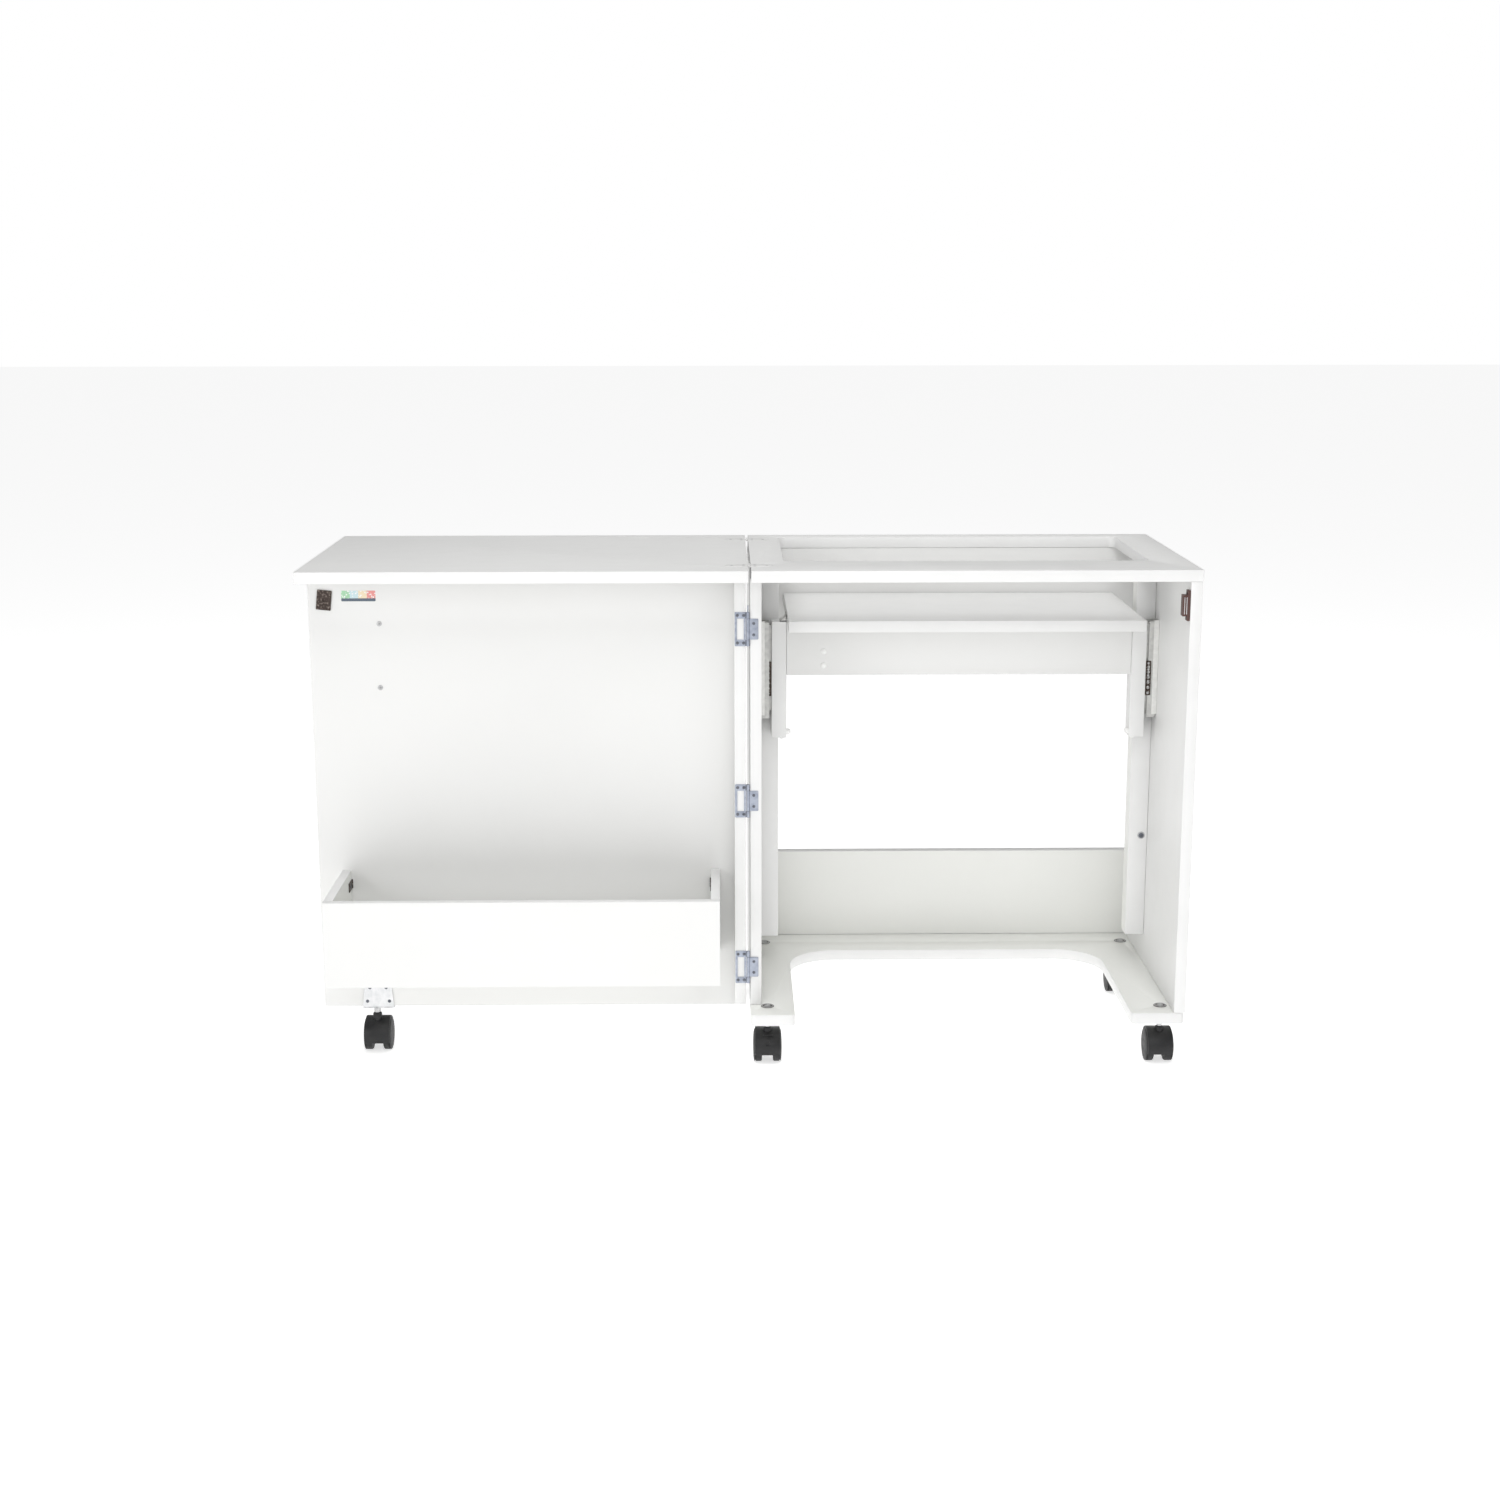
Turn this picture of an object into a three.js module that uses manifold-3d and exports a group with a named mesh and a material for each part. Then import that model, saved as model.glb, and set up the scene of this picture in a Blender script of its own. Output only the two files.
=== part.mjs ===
// Fold-out sewing cabinet: cabinet with a machine lift, fold-over leaf, hinged door with a bin, five casters.
// Millimetres, +Z up. In plan the cabinet frame has X = 0 at the seam between leaf and cabinet top and
// Y = 0 at the front edge of the tops; the group is then moved so that the origin is below the middle.
import * as THREE from 'three';
import { mergeVertices } from 'three/addons/utils/BufferGeometryUtils.js';
import Module from 'manifold-3d';

const wasm = await Module();
wasm.setup();

// ---- Driving dimensions -------------------------------------------------------------------------------
const HALF_WIDTH = 660; // seam to the outer end of either top
const DEPTH = 455; // front edge to back edge of the tops
const HEIGHT = 765; // floor to work surface
const BOARD = 17; // thickness of the melamine boards
const FIT = 0.3; // clearance left between touching pieces
const SEAM = 2.2; // from the seam's middle to either top

const OVERHANG = 1; // end of the top to the outer face of a side panel
const BACK_INSET = 8; // back edge of the top to the side panels

const CUTOUT = { x0: 52, x1: 602, y0: 112, y1: 417, r: 12 };
const BASE = { x1: 658, top: 90, footLeft: 67, footRight: 80, barFront: 328, r: 75, cornerR: 8, back: 447 };
const BACK_BOARD = { y: 418, lowerTop: 236, upperBottom: 548 };

const POST = { width: 30, y0: 257, depth: 33, bottom: 137 };
const LIFT_BOARD = { x0: 37, x1: 60, y0: 222, y1: 254, bottom: 472, top: 656.5 };
const PLATFORM = { y0: 112, y1: 414, top: 674 };
const CROSS_BOARD_BOTTOM = 572;
const SLIDE = {
  y: 238, wall: 1.2, clear: 0.8,
  outer: { width: 32, depth: 7.7, z: [508, 657] },
  middle: { width: 28, depth: 12.7, z: [503, 655] },
  inner: { width: 20, z: [515, 650] },
};

const HINGE_PIN = { x: -2.3, y: 49.5, r: 2.6 };
const HINGE_Z = [672.5, 411.5, 150.8];
const HINGE = { plate: 1.1, doorWidth: 19.5, doorHeight: 51, frameWidth: 15.5, frameHeight: 31 };
const HINGE_FACE = HINGE_PIN.y + HINGE.plate + 0.1; // the board edges that the hinge leaves are screwed to

const DOOR = { inner: 102.5, bottom: 73.5, top: 745, end: -HALF_WIDTH + 0.5, returnBottom: 91 };
const BIN = { x0: -624, x1: -45, y0: -80, z0: 163, z1: 292, board: 13.5 };
const BRACKET = { x: -576, plate: 2, topWidth: 39, bottomWidth: 49, top: 126, flangeDepth: 20 };
const DOOR_CASTER = { x: -579, y: 107 };

const CASTER = { wheelR: 25, wheelWidth: 13.5, webWidth: 16, width: 38.6, shell: 2.4, trail: 8, neckTop: 58 };
const STEM = { r: 4, neckR: 7 };
const CASTER_PLACES = {
  front_left: { x: 27, y: 44 },
  front_right: { x: 628, y: 38 },
  rear_left: { x: 28, y: 374 },
  rear_right: { x: 626, y: 374 },
};

// ---- Finishes -----------------------------------------------------------------------------------------
const finish = (color, roughness, metalness) => new THREE.MeshStandardMaterial({ color, roughness, metalness });
const MELAMINE = finish(0xf4f4f2, 0.38, 0);
const ZINC = finish(0xaab0bb, 0.35, 0.9);
const BRONZE = finish(0x4a3a33, 0.45, 0.6);
const BROWN_PLASTIC = finish(0x6b4a42, 0.5, 0);
const BLACK_PLASTIC = finish(0x1d1d1f, 0.45, 0);
const BLACK_TYRE = finish(0x232325, 0.6, 0);

// ---- Geometry helpers ---------------------------------------------------------------------------------
/** Names a geometry as one piece of the cabinet. */
function piece(name, geometry, material) {
  const mesh = new THREE.Mesh(geometry, material);
  mesh.name = name;
  return mesh;
}

/** A board between two corners, given as [low, high] along each axis. */
function board(name, x, y, z, material = MELAMINE) {
  const mesh = piece(name, new THREE.BoxGeometry(x[1] - x[0], y[1] - y[0], z[1] - z[0]), material);
  mesh.position.set((x[0] + x[1]) / 2, (y[0] + y[1]) / 2, (z[0] + z[1]) / 2);
  return mesh;
}

/** A rectangle with round corners, as a closed outline. */
function roundedRectangle(path, x0, x1, y0, y1, r) {
  path.moveTo(x0 + r, y0);
  path.lineTo(x1 - r, y0);
  path.absarc(x1 - r, y0 + r, r, -Math.PI / 2, 0, false);
  path.lineTo(x1, y1 - r);
  path.absarc(x1 - r, y1 - r, r, 0, Math.PI / 2, false);
  path.lineTo(x0 + r, y1);
  path.absarc(x0 + r, y1 - r, r, Math.PI / 2, Math.PI, false);
  path.lineTo(x0, y0 + r);
  path.absarc(x0 + r, y0 + r, r, Math.PI, Math.PI * 1.5, false);
  return path;
}

/** An outline in plan, raised from z0 to z1. */
function slab(shape, z0, z1, curveSegments = 6) {
  const geometry = new THREE.ExtrudeGeometry(shape, { depth: z1 - z0, bevelEnabled: false, curveSegments });
  return geometry.translate(0, 0, z0);
}

/** A round bar of radius r along an axis, centred at a point. */
function bar(r, length, axis, centre, segments = 16) {
  const geometry = new THREE.CylinderGeometry(r, r, length, segments);
  if (axis === 'x') geometry.rotateZ(Math.PI / 2);
  if (axis === 'z') geometry.rotateX(Math.PI / 2);
  return geometry.translate(...centre);
}

/** A box geometry between two corners, for use in joins and cuts. */
function block(x, y, z) {
  const geometry = new THREE.BoxGeometry(x[1] - x[0], y[1] - y[0], z[1] - z[0]);
  return geometry.translate((x[0] + x[1]) / 2, (y[0] + y[1]) / 2, (z[0] + z[1]) / 2);
}

/** Turns a closed geometry into a solid that can be joined and cut. */
function solid(geometry) {
  const bare = geometry.clone();
  bare.deleteAttribute('normal');
  bare.deleteAttribute('uv');
  const merged = mergeVertices(bare, 1e-4);
  return new wasm.Manifold(new wasm.Mesh({
    numProp: 3,
    vertProperties: new Float32Array(merged.attributes.position.array),
    triVerts: new Uint32Array(merged.index.array),
  }));
}

/** Turns a solid back into a geometry. */
function geometryOf(body) {
  const mesh = body.getMesh();
  const geometry = new THREE.BufferGeometry();
  geometry.setAttribute('position', new THREE.BufferAttribute(new Float32Array(mesh.vertProperties), 3));
  geometry.setIndex(new THREE.BufferAttribute(new Uint32Array(mesh.triVerts), 1));
  geometry.computeVertexNormals();
  return geometry;
}

/** Joins some geometries and cuts others away. */
function carve(joined, removed = []) {
  let body = solid(joined[0]);
  for (const geometry of joined.slice(1)) body = body.add(solid(geometry));
  for (const geometry of removed) body = body.subtract(solid(geometry));
  return geometryOf(body);
}

// ---- Tops and their flush hinges ----------------------------------------------------------------------
const TOP_HINGE = { reach: 35, halfWidth: 13, plate: 2.6, pivotRise: 0.3, r: 1.5 };
const TOP_HINGE_Y = { front: 66, rear: 392 };
const UNDERSIDE = HEIGHT - BOARD;

/** Plan of one half of a flush hinge, with its round end away from the seam; side is -1 or 1. */
function hingeOutline(side, y, inner, grow) {
  const half = TOP_HINGE.halfWidth + grow;
  const end = TOP_HINGE.reach - TOP_HINGE.halfWidth;
  const shape = new THREE.Shape();
  shape.moveTo(side * inner, y - half);
  shape.lineTo(side * end, y - half);
  shape.absarc(side * end, y, half, -Math.PI / 2, Math.PI / 2, side < 0);
  shape.lineTo(side * inner, y + half);
  return shape;
}

/** The pocket that a flush hinge half is let into. */
function hingePocket(side, y) {
  const outline = hingeOutline(side, y, SEAM - 1, FIT);
  return slab(outline, HEIGHT - TOP_HINGE.plate - FIT, HEIGHT + 1, 8);
}

/** One half of a flush hinge: its plate, and its part of the knuckle in the seam. */
function topHingeHalf(name, side, y) {
  const plate = slab(hingeOutline(side, y, SEAM, 0), HEIGHT - TOP_HINGE.plate, HEIGHT, 8);
  const middle = TOP_HINGE.halfWidth * 0.4;
  const spans = side > 0 ? [[-TOP_HINGE.halfWidth, -middle], [middle, TOP_HINGE.halfWidth]]
    : [[-middle + FIT, middle - FIT]];
  const joined = [plate];
  for (const [a, b] of spans) {
    const centre = [0, y + (a + b) / 2, HEIGHT + TOP_HINGE.pivotRise];
    joined.push(bar(TOP_HINGE.r, b - a, 'y', centre, 12));
    const x = side > 0 ? [0, SEAM + 2] : [-SEAM - 2, 0];
    joined.push(block(x, [y + a, y + b], [HEIGHT - 1.1, HEIGHT]));
  }
  return piece(name, carve(joined), ZINC);
}

/** The cabinet's top, with the machine cut-out and the pockets of its hinges. */
function mainTop() {
  const outline = roundedRectangle(new THREE.Shape(), SEAM, HALF_WIDTH, 0, DEPTH, 1);
  const { x0, x1, y0, y1, r } = CUTOUT;
  outline.holes.push(roundedRectangle(new THREE.Path(), x0, x1, y0, y1, r));
  const pockets = Object.values(TOP_HINGE_Y).map((y) => hingePocket(1, y));
  return piece('main_top', carve([slab(outline, UNDERSIDE, HEIGHT, 4)], pockets), MELAMINE);
}

/** The leaf that folds over the cabinet's top. */
function leafBoard() {
  const outline = roundedRectangle(new THREE.Shape(), -HALF_WIDTH, -SEAM, 0, DEPTH, 1);
  const pockets = Object.values(TOP_HINGE_Y).map((y) => hingePocket(-1, y));
  return piece('leaf_board', carve([slab(outline, UNDERSIDE, HEIGHT, 4)], pockets), MELAMINE);
}

function topsGroup() {
  const group = new THREE.Group();
  group.add(mainTop(), leafBoard());
  for (const [place, y] of Object.entries(TOP_HINGE_Y)) {
    group.add(topHingeHalf(`top_hinge_${place}`, 1, y));
    group.add(topHingeHalf(`leaf_hinge_${place}`, -1, y));
  }
  return group;
}

// ---- Cabinet ------------------------------------------------------------------------------------------
const PANEL_LEFT = [OVERHANG, OVERHANG + BOARD];
const PANEL_RIGHT = [HALF_WIDTH - OVERHANG - BOARD, HALF_WIDTH - OVERHANG];
const INSIDE = [PANEL_LEFT[1] + FIT, PANEL_RIGHT[0] - FIT];
const PANEL_Z = [BASE.top + FIT, UNDERSIDE - FIT];
const MIDDLE_X = (PANEL_LEFT[1] + PANEL_RIGHT[0]) / 2;

/** The U-shaped base plate, open to the front, with a hole for each caster's stem. */
function basePlate() {
  const { x1, footLeft, footRight, barFront, r, cornerR, back, top } = BASE;
  const x0 = OVERHANG;
  const innerLeft = x0 + footLeft;
  const innerRight = x1 - footRight;
  const shape = new THREE.Shape();
  shape.moveTo(x0, cornerR);
  shape.absarc(x0 + cornerR, cornerR, cornerR, Math.PI, Math.PI * 1.5, false);
  shape.absarc(innerLeft - cornerR, cornerR, cornerR, -Math.PI / 2, 0, false);
  shape.absarc(innerLeft + r, barFront - r, r, Math.PI, Math.PI / 2, true);
  shape.absarc(innerRight - r, barFront - r, r, Math.PI / 2, 0, true);
  shape.absarc(innerRight + cornerR, cornerR, cornerR, Math.PI, Math.PI * 1.5, false);
  shape.absarc(x1 - cornerR, cornerR, cornerR, -Math.PI / 2, 0, false);
  shape.lineTo(x1, back);
  shape.lineTo(x0, back);
  for (const { x, y } of Object.values(CASTER_PLACES)) {
    shape.holes.push(new THREE.Path().absarc(x, y, STEM.r + FIT * 2, 0, Math.PI * 2, false));
  }
  return piece('base_plate', slab(shape, top - BOARD, top, 7), MELAMINE);
}

/** Mirrors an [low, high] span of X from the left half of the cabinet to the right half. */
const mirrored = ([low, high]) => [2 * MIDDLE_X - high, 2 * MIDDLE_X - low];

function cabinetGroup() {
  const group = new THREE.Group();
  const back = DEPTH - BACK_INSET;
  group.add(board('left_side_panel', PANEL_LEFT, [HINGE_FACE, back], PANEL_Z));
  group.add(board('right_side_panel', PANEL_RIGHT, [0, back], PANEL_Z));
  group.add(basePlate());
  const backY = [BACK_BOARD.y, BACK_BOARD.y + BOARD];
  group.add(board('lower_back_board', INSIDE, backY, [PANEL_Z[0], BACK_BOARD.lowerTop]));
  group.add(board('upper_back_board', INSIDE, backY, [BACK_BOARD.upperBottom, PANEL_Z[1]]));
  const postX = [INSIDE[0], INSIDE[0] + POST.width];
  const postY = [POST.y0, POST.y0 + POST.depth];
  group.add(board('lift_post_left', postX, postY, [POST.bottom, PANEL_Z[1]]));
  group.add(board('lift_post_right', mirrored(postX), postY, [POST.bottom, PANEL_Z[1]]));
  group.add(magneticCatch());
  return group;
}

/** The double magnetic catch: a tall flange against the right panel and the lower magnet body on it. */
function magneticCatch() {
  const face = PANEL_RIGHT[0] - FIT;
  const flange = block([face - 4, face], [1, 15], [690, 735]);
  const body = block([face - 11, face - 3], [1, 15], [697, 728]);
  return piece('magnetic_catch', carve([flange, body]), BROWN_PLASTIC);
}

// ---- Lift ---------------------------------------------------------------------------------------------
/** An upright steel channel between two X planes, with its hollow towards side +1 or -1 of X. */
function channel([x0, x1], { width, z }, openSide) {
  const half = width / 2;
  const { y, wall } = SLIDE;
  const hollowX = openSide > 0 ? [x0 + wall, x1 + 1] : [x0 - 1, x1 - wall];
  const hollow = block(hollowX, [y - half + wall, y + half - wall], [z[0] - 1, z[1] + 1]);
  return carve([block([x0, x1], [y - half, y + half], z)], [hollow]);
}

/** The three nested members of one telescopic slide, from the side panel to the lift board. */
function slideMembers(label) {
  const place = (span) => (label === 'left' ? span : mirrored(span));
  const openSide = label === 'left' ? 1 : -1;
  const { wall, clear, outer, middle, inner } = SLIDE;
  const panelFace = INSIDE[0];
  const boardFace = LIFT_BOARD.x0 - FIT;
  const step = wall + clear;
  const outerX = place([panelFace, panelFace + outer.depth]);
  const middleX = place([panelFace + step, panelFace + step + middle.depth]);
  const innerX = place([panelFace + 2 * step, boardFace]);
  const innerY = [SLIDE.y - inner.width / 2, SLIDE.y + inner.width / 2];
  return [
    piece(`slide_outer_${label}`, channel(outerX, outer, openSide), ZINC),
    piece(`slide_middle_${label}`, channel(middleX, middle, openSide), ZINC),
    board(`slide_inner_${label}`, innerX, innerY, inner.z, ZINC),
  ];
}

function liftGroup() {
  const group = new THREE.Group();
  const leftX = [LIFT_BOARD.x0, LIFT_BOARD.x1];
  const boardY = [LIFT_BOARD.y0, LIFT_BOARD.y1];
  const boardZ = [LIFT_BOARD.bottom, LIFT_BOARD.top];
  group.add(board('lift_board_left', leftX, boardY, boardZ));
  group.add(board('lift_board_right', mirrored(leftX), boardY, boardZ));
  const between = [LIFT_BOARD.x1 + FIT, mirrored(leftX)[0] - FIT];
  const platformZ = [PLATFORM.top - BOARD, PLATFORM.top];
  group.add(board('lift_platform', between, [PLATFORM.y0, PLATFORM.y1], platformZ));
  const crossY = [LIFT_BOARD.y0, LIFT_BOARD.y0 + BOARD];
  const crossZ = [CROSS_BOARD_BOTTOM, platformZ[0] - FIT];
  group.add(board('lift_cross_board', between, crossY, crossZ));
  group.add(...slideMembers('left'), ...slideMembers('right'));
  return group;
}

// ---- Door hinges --------------------------------------------------------------------------------------
/** The leaf screwed to the left panel's front edge, with the middle knuckle. */
function frameHingeLeaf(name, z) {
  const { x, y, r } = HINGE_PIN;
  const half = HINGE.frameHeight / 2;
  const plate = block([x, x + HINGE.frameWidth], [y, y + HINGE.plate], [z - half, z + half]);
  return piece(name, carve([plate, bar(r, HINGE.frameHeight, 'z', [x, y, z])]), ZINC);
}

/** The windowed leaf screwed to the return board's edge, with the two end knuckles. */
function doorHingeLeaf(name, z) {
  const { x, y, r } = HINGE_PIN;
  const half = HINGE.doorHeight / 2;
  const gap = HINGE.frameHeight / 2 + FIT;
  const plateX = [x - HINGE.doorWidth, x];
  const plate = block(plateX, [y, y + HINGE.plate], [z - half, z + half]);
  const joined = [plate];
  for (const end of [-1, 1]) {
    const middle = z + (end * (half + gap)) / 2;
    joined.push(bar(r, half - gap, 'z', [x, y, middle]));
  }
  const window = block([plateX[0] + 3.5, x - 5.5], [y - 1, y + 3], [z - gap, z + gap]);
  const relief = block([x - 5.6, x + 4], [y - 4, y + 4], [z - gap, z + gap]);
  return piece(name, carve(joined, [window, relief]), ZINC);
}

// ---- Door with its bin --------------------------------------------------------------------------------
/** The bracket that carries the door's caster: a tapered plate on the door and a flange under it. */
function casterBracket() {
  const { x, plate, topWidth, bottomWidth, top, flangeDepth } = BRACKET;
  const z0 = DOOR.bottom - FIT - plate;
  const face = DOOR.inner - FIT;
  const outline = new THREE.Shape();
  outline.moveTo(x - bottomWidth / 2, z0);
  outline.lineTo(x + bottomWidth / 2, z0);
  outline.lineTo(x + topWidth / 2, top);
  outline.lineTo(x - topWidth / 2, top);
  const upright = slab(outline, 0, plate).rotateX(Math.PI / 2).translate(0, face, 0);
  const flangeX = [x - bottomWidth / 2, x + bottomWidth / 2];
  const flange = block(flangeX, [face - plate, face + flangeDepth], [z0, z0 + plate]);
  return piece('caster_bracket', carve([upright, flange]), ZINC);
}

function doorGroup() {
  const group = new THREE.Group();
  const hingeSide = 2 * HINGE_PIN.x - OVERHANG;
  const returnX = [hingeSide - BOARD, hingeSide];
  const panelY = [DOOR.inner, DOOR.inner + BOARD];
  group.add(board('door_panel', [DOOR.end, hingeSide], panelY, [DOOR.bottom, DOOR.top]));
  const returnY = [HINGE_FACE, DOOR.inner - FIT];
  group.add(board('door_return_board', returnX, returnY, [DOOR.returnBottom, DOOR.top]));

  const { x0, x1, y0, z0, z1, board: thick } = BIN;
  const back = DOOR.inner - FIT;
  const front = y0 + thick;
  group.add(board('bin_front', [x0, x1], [y0, front - FIT], [z0, z1]));
  group.add(board('bin_side_left', [x0, x0 + thick], [front, back], [z0, z1]));
  group.add(board('bin_side_right', [x1 - thick, x1], [front, back], [z0, z1]));
  const inside = [x0 + thick + FIT, x1 - thick - FIT];
  group.add(board('bin_bottom', inside, [front, back], [z0, z0 + thick]));

  const strike = board('strike_plate', [-11, 11], [-1.5, 0], [-15, 15], BRONZE);
  strike.position.set(-635, back - 0.75, 710);
  strike.rotation.y = THREE.MathUtils.degToRad(6);
  group.add(strike, casterBracket());
  return group;
}

function hingesGroup() {
  const group = new THREE.Group();
  ['top', 'middle', 'bottom'].forEach((place, i) => {
    group.add(frameHingeLeaf(`door_hinge_frame_${place}`, HINGE_Z[i]));
    group.add(doorHingeLeaf(`door_hinge_leaf_${place}`, HINGE_Z[i]));
  });
  return group;
}

// ---- Casters ------------------------------------------------------------------------------------------
/** Spreads a section drawn in the Y-Z plane evenly along X, and moves it to the wheels' axle. */
function acrossAxle(section, width) {
  const geometry = new THREE.ExtrudeGeometry(section, { depth: width, bevelEnabled: false, curveSegments: 14 });
  const [x, y, z] = [new THREE.Vector3(1, 0, 0), new THREE.Vector3(0, 1, 0), new THREE.Vector3(0, 0, 1)];
  geometry.applyMatrix4(new THREE.Matrix4().makeBasis(y, z, x));
  return geometry.translate(-width / 2, CASTER.trail, CASTER.wheelR);
}

/** The hood of a twin-wheel caster, about its stem's axis: a curved cover, a middle web and a neck. */
function casterHood(name) {
  const { wheelR, shell, width, webWidth, neckTop } = CASTER;
  const inner = wheelR + 0.9;
  const outer = inner + shell;
  const back = -Math.PI * 0.06;
  const front = Math.PI * 1.09;
  const cover = new THREE.Shape();
  cover.absarc(0, 0, outer, back, front, false);
  cover.absarc(0, 0, inner, front, back, true);
  const web = new THREE.Shape();
  web.absarc(0, 0, inner + shell / 2, back, front, false);
  web.absarc(0, 0, 8, front, 2 * Math.PI + back, false);
  const neckBottom = 2 * wheelR - 0.2;
  const neckMiddle = [0, 0, (neckTop + neckBottom) / 2];
  const neck = bar(STEM.neckR, neckTop - neckBottom, 'z', neckMiddle, 20);
  const halfWeb = webWidth / 2;
  const root = block([-halfWeb, halfWeb], [-halfWeb, halfWeb], [wheelR + 17, neckBottom + 2]);
  return piece(name, carve([acrossAxle(cover, width), acrossAxle(web, webWidth), root, neck]), BLACK_PLASTIC);
}

/** One wheel of a caster, about its own centre with its axle along X: rounded tread, domed outer face. */
function casterWheel(name, side) {
  const { wheelR, wheelWidth } = CASTER;
  const half = wheelWidth / 2;
  const profile = [[0, -half], [wheelR - 3, -half], [wheelR, -half + 2], [wheelR, half - 4],
    [wheelR - 1.2, half - 2.6], [wheelR - 6, half - 1], [wheelR - 13, half - 0.2], [0, half]];
  const points = profile.map(([r, x]) => new THREE.Vector2(r, x));
  const geometry = new THREE.LatheGeometry(points, 28).rotateZ(-side * (Math.PI / 2));
  return piece(name, geometry, BLACK_TYRE);
}

/** A caster below a point: hood, steel stem and two wheels; stemTop is the height of the stem's end. */
function caster(place, x, y, stemTop) {
  const group = new THREE.Group();
  const { wheelR, wheelWidth, webWidth, trail, neckTop } = CASTER;
  group.add(casterHood(`caster_${place}_hood`));
  const stemBottom = neckTop + FIT;
  const stem = bar(STEM.r, stemTop - stemBottom, 'z', [0, 0, (stemTop + stemBottom) / 2], 16);
  group.add(piece(`caster_${place}_stem`, stem, ZINC));
  for (const [label, side] of [['left', -1], ['right', 1]]) {
    const wheel = casterWheel(`caster_${place}_wheel_${label}`, side);
    wheel.position.set(side * (webWidth / 2 + 0.5 + wheelWidth / 2), trail, wheelR);
    group.add(wheel);
  }
  group.position.set(x, y, 0);
  return group;
}

function castersGroup() {
  const group = new THREE.Group();
  for (const [place, { x, y }] of Object.entries(CASTER_PLACES)) {
    group.add(caster(place, x, y, BASE.top - 1));
  }
  const flangeBottom = DOOR.bottom - FIT - BRACKET.plate;
  group.add(caster('door', DOOR_CASTER.x, DOOR_CASTER.y, flangeBottom - FIT));
  return group;
}

// ---- Whole object -------------------------------------------------------------------------------------
const group = new THREE.Group();
group.add(topsGroup(), cabinetGroup(), liftGroup(), doorGroup(), hingesGroup(), castersGroup());
group.position.y = -(DEPTH + BIN.y0) / 2;

export default group;
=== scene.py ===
# Fold-out sewing cabinet: finished boards, hinges, lift slides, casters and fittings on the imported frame.
# Lengths in this file are millimetres until a mesh is made; Blender's own units are metres.

import logging
import math
from dataclasses import dataclass, field
from enum import Enum
from typing import Iterable, Sequence

import bmesh
import bpy
from mathutils import Matrix, Vector
from mathutils.geometry import tessellate_polygon

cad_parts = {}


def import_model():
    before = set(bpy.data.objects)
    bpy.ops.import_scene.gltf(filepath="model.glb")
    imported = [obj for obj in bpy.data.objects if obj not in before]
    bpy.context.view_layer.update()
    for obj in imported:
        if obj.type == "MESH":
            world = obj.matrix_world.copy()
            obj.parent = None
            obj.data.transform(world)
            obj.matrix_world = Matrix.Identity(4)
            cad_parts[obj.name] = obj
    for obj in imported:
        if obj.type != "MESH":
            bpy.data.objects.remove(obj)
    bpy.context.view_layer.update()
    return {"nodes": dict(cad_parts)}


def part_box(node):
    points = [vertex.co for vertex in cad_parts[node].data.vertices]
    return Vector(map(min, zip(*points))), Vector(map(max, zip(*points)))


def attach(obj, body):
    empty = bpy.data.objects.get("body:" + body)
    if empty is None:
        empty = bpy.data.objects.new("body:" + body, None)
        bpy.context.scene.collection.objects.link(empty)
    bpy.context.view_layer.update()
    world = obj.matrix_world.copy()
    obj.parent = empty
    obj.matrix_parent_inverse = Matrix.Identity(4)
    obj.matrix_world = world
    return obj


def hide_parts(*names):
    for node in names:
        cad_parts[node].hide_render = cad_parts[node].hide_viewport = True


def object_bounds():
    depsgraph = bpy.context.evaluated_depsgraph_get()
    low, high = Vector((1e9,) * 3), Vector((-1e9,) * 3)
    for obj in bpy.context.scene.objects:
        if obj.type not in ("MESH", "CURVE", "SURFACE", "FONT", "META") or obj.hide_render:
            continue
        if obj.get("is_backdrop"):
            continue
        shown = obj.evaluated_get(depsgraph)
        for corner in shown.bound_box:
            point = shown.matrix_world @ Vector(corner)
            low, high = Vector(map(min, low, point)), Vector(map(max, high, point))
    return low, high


MM = 0.001
SHARP_ANGLE = math.radians(33)
LOG = logging.getLogger("sewing_cabinet")

Colour = tuple[float, float, float]
Point2 = tuple[float, float]
Point3 = tuple[float, float, float]

FRONT: Point3 = (0, -1, 0)


class Body(str, Enum):
    """The moving groups that pieces ride on."""

    CABINET = "cabinet"
    LEAF = "leaf"
    DOOR = "door"
    LIFT = "lift"


class Side(Enum):
    """Left or right of a symmetrical sub-assembly, with its sign along X."""

    LEFT = -1
    RIGHT = 1

    @property
    def label(self) -> str:
        """The word used in node names."""
        return self.name.lower()


# ---- Node trees ---------------------------------------------------------------------------------------


class NodeGraph:
    """A node tree that is filled with short calls."""

    def __init__(self, tree: bpy.types.NodeTree) -> None:
        """Wraps a tree.

        Args:
            tree: the shader or geometry tree to fill.
        """
        self.tree = tree

    def node(self, kind: str, inputs: dict | None = None, **settings: object) -> bpy.types.Node:
        """Adds a node.

        Args:
            kind: the node's type name.
            inputs: values or sockets for its inputs, by name or place.
            settings: the node's own properties.

        Returns:
            The new node.
        """
        node = self.tree.nodes.new(kind)
        for name, value in settings.items():
            setattr(node, name, value)
        for name, value in (inputs or {}).items():
            self.feed(node.inputs[name], value)
        return node

    def feed(self, socket: bpy.types.NodeSocket, value: object) -> None:
        """Links a socket to an input, or sets the input's value."""
        if isinstance(value, bpy.types.NodeSocket):
            self.tree.links.new(value, socket)
        else:
            socket.default_value = value

    def math(self, operation: str, a: object, b: object = 0.0) -> bpy.types.NodeSocket:
        """A Math node's result."""
        return self.node("ShaderNodeMath", {0: a, 1: b}, operation=operation).outputs[0]


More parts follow.
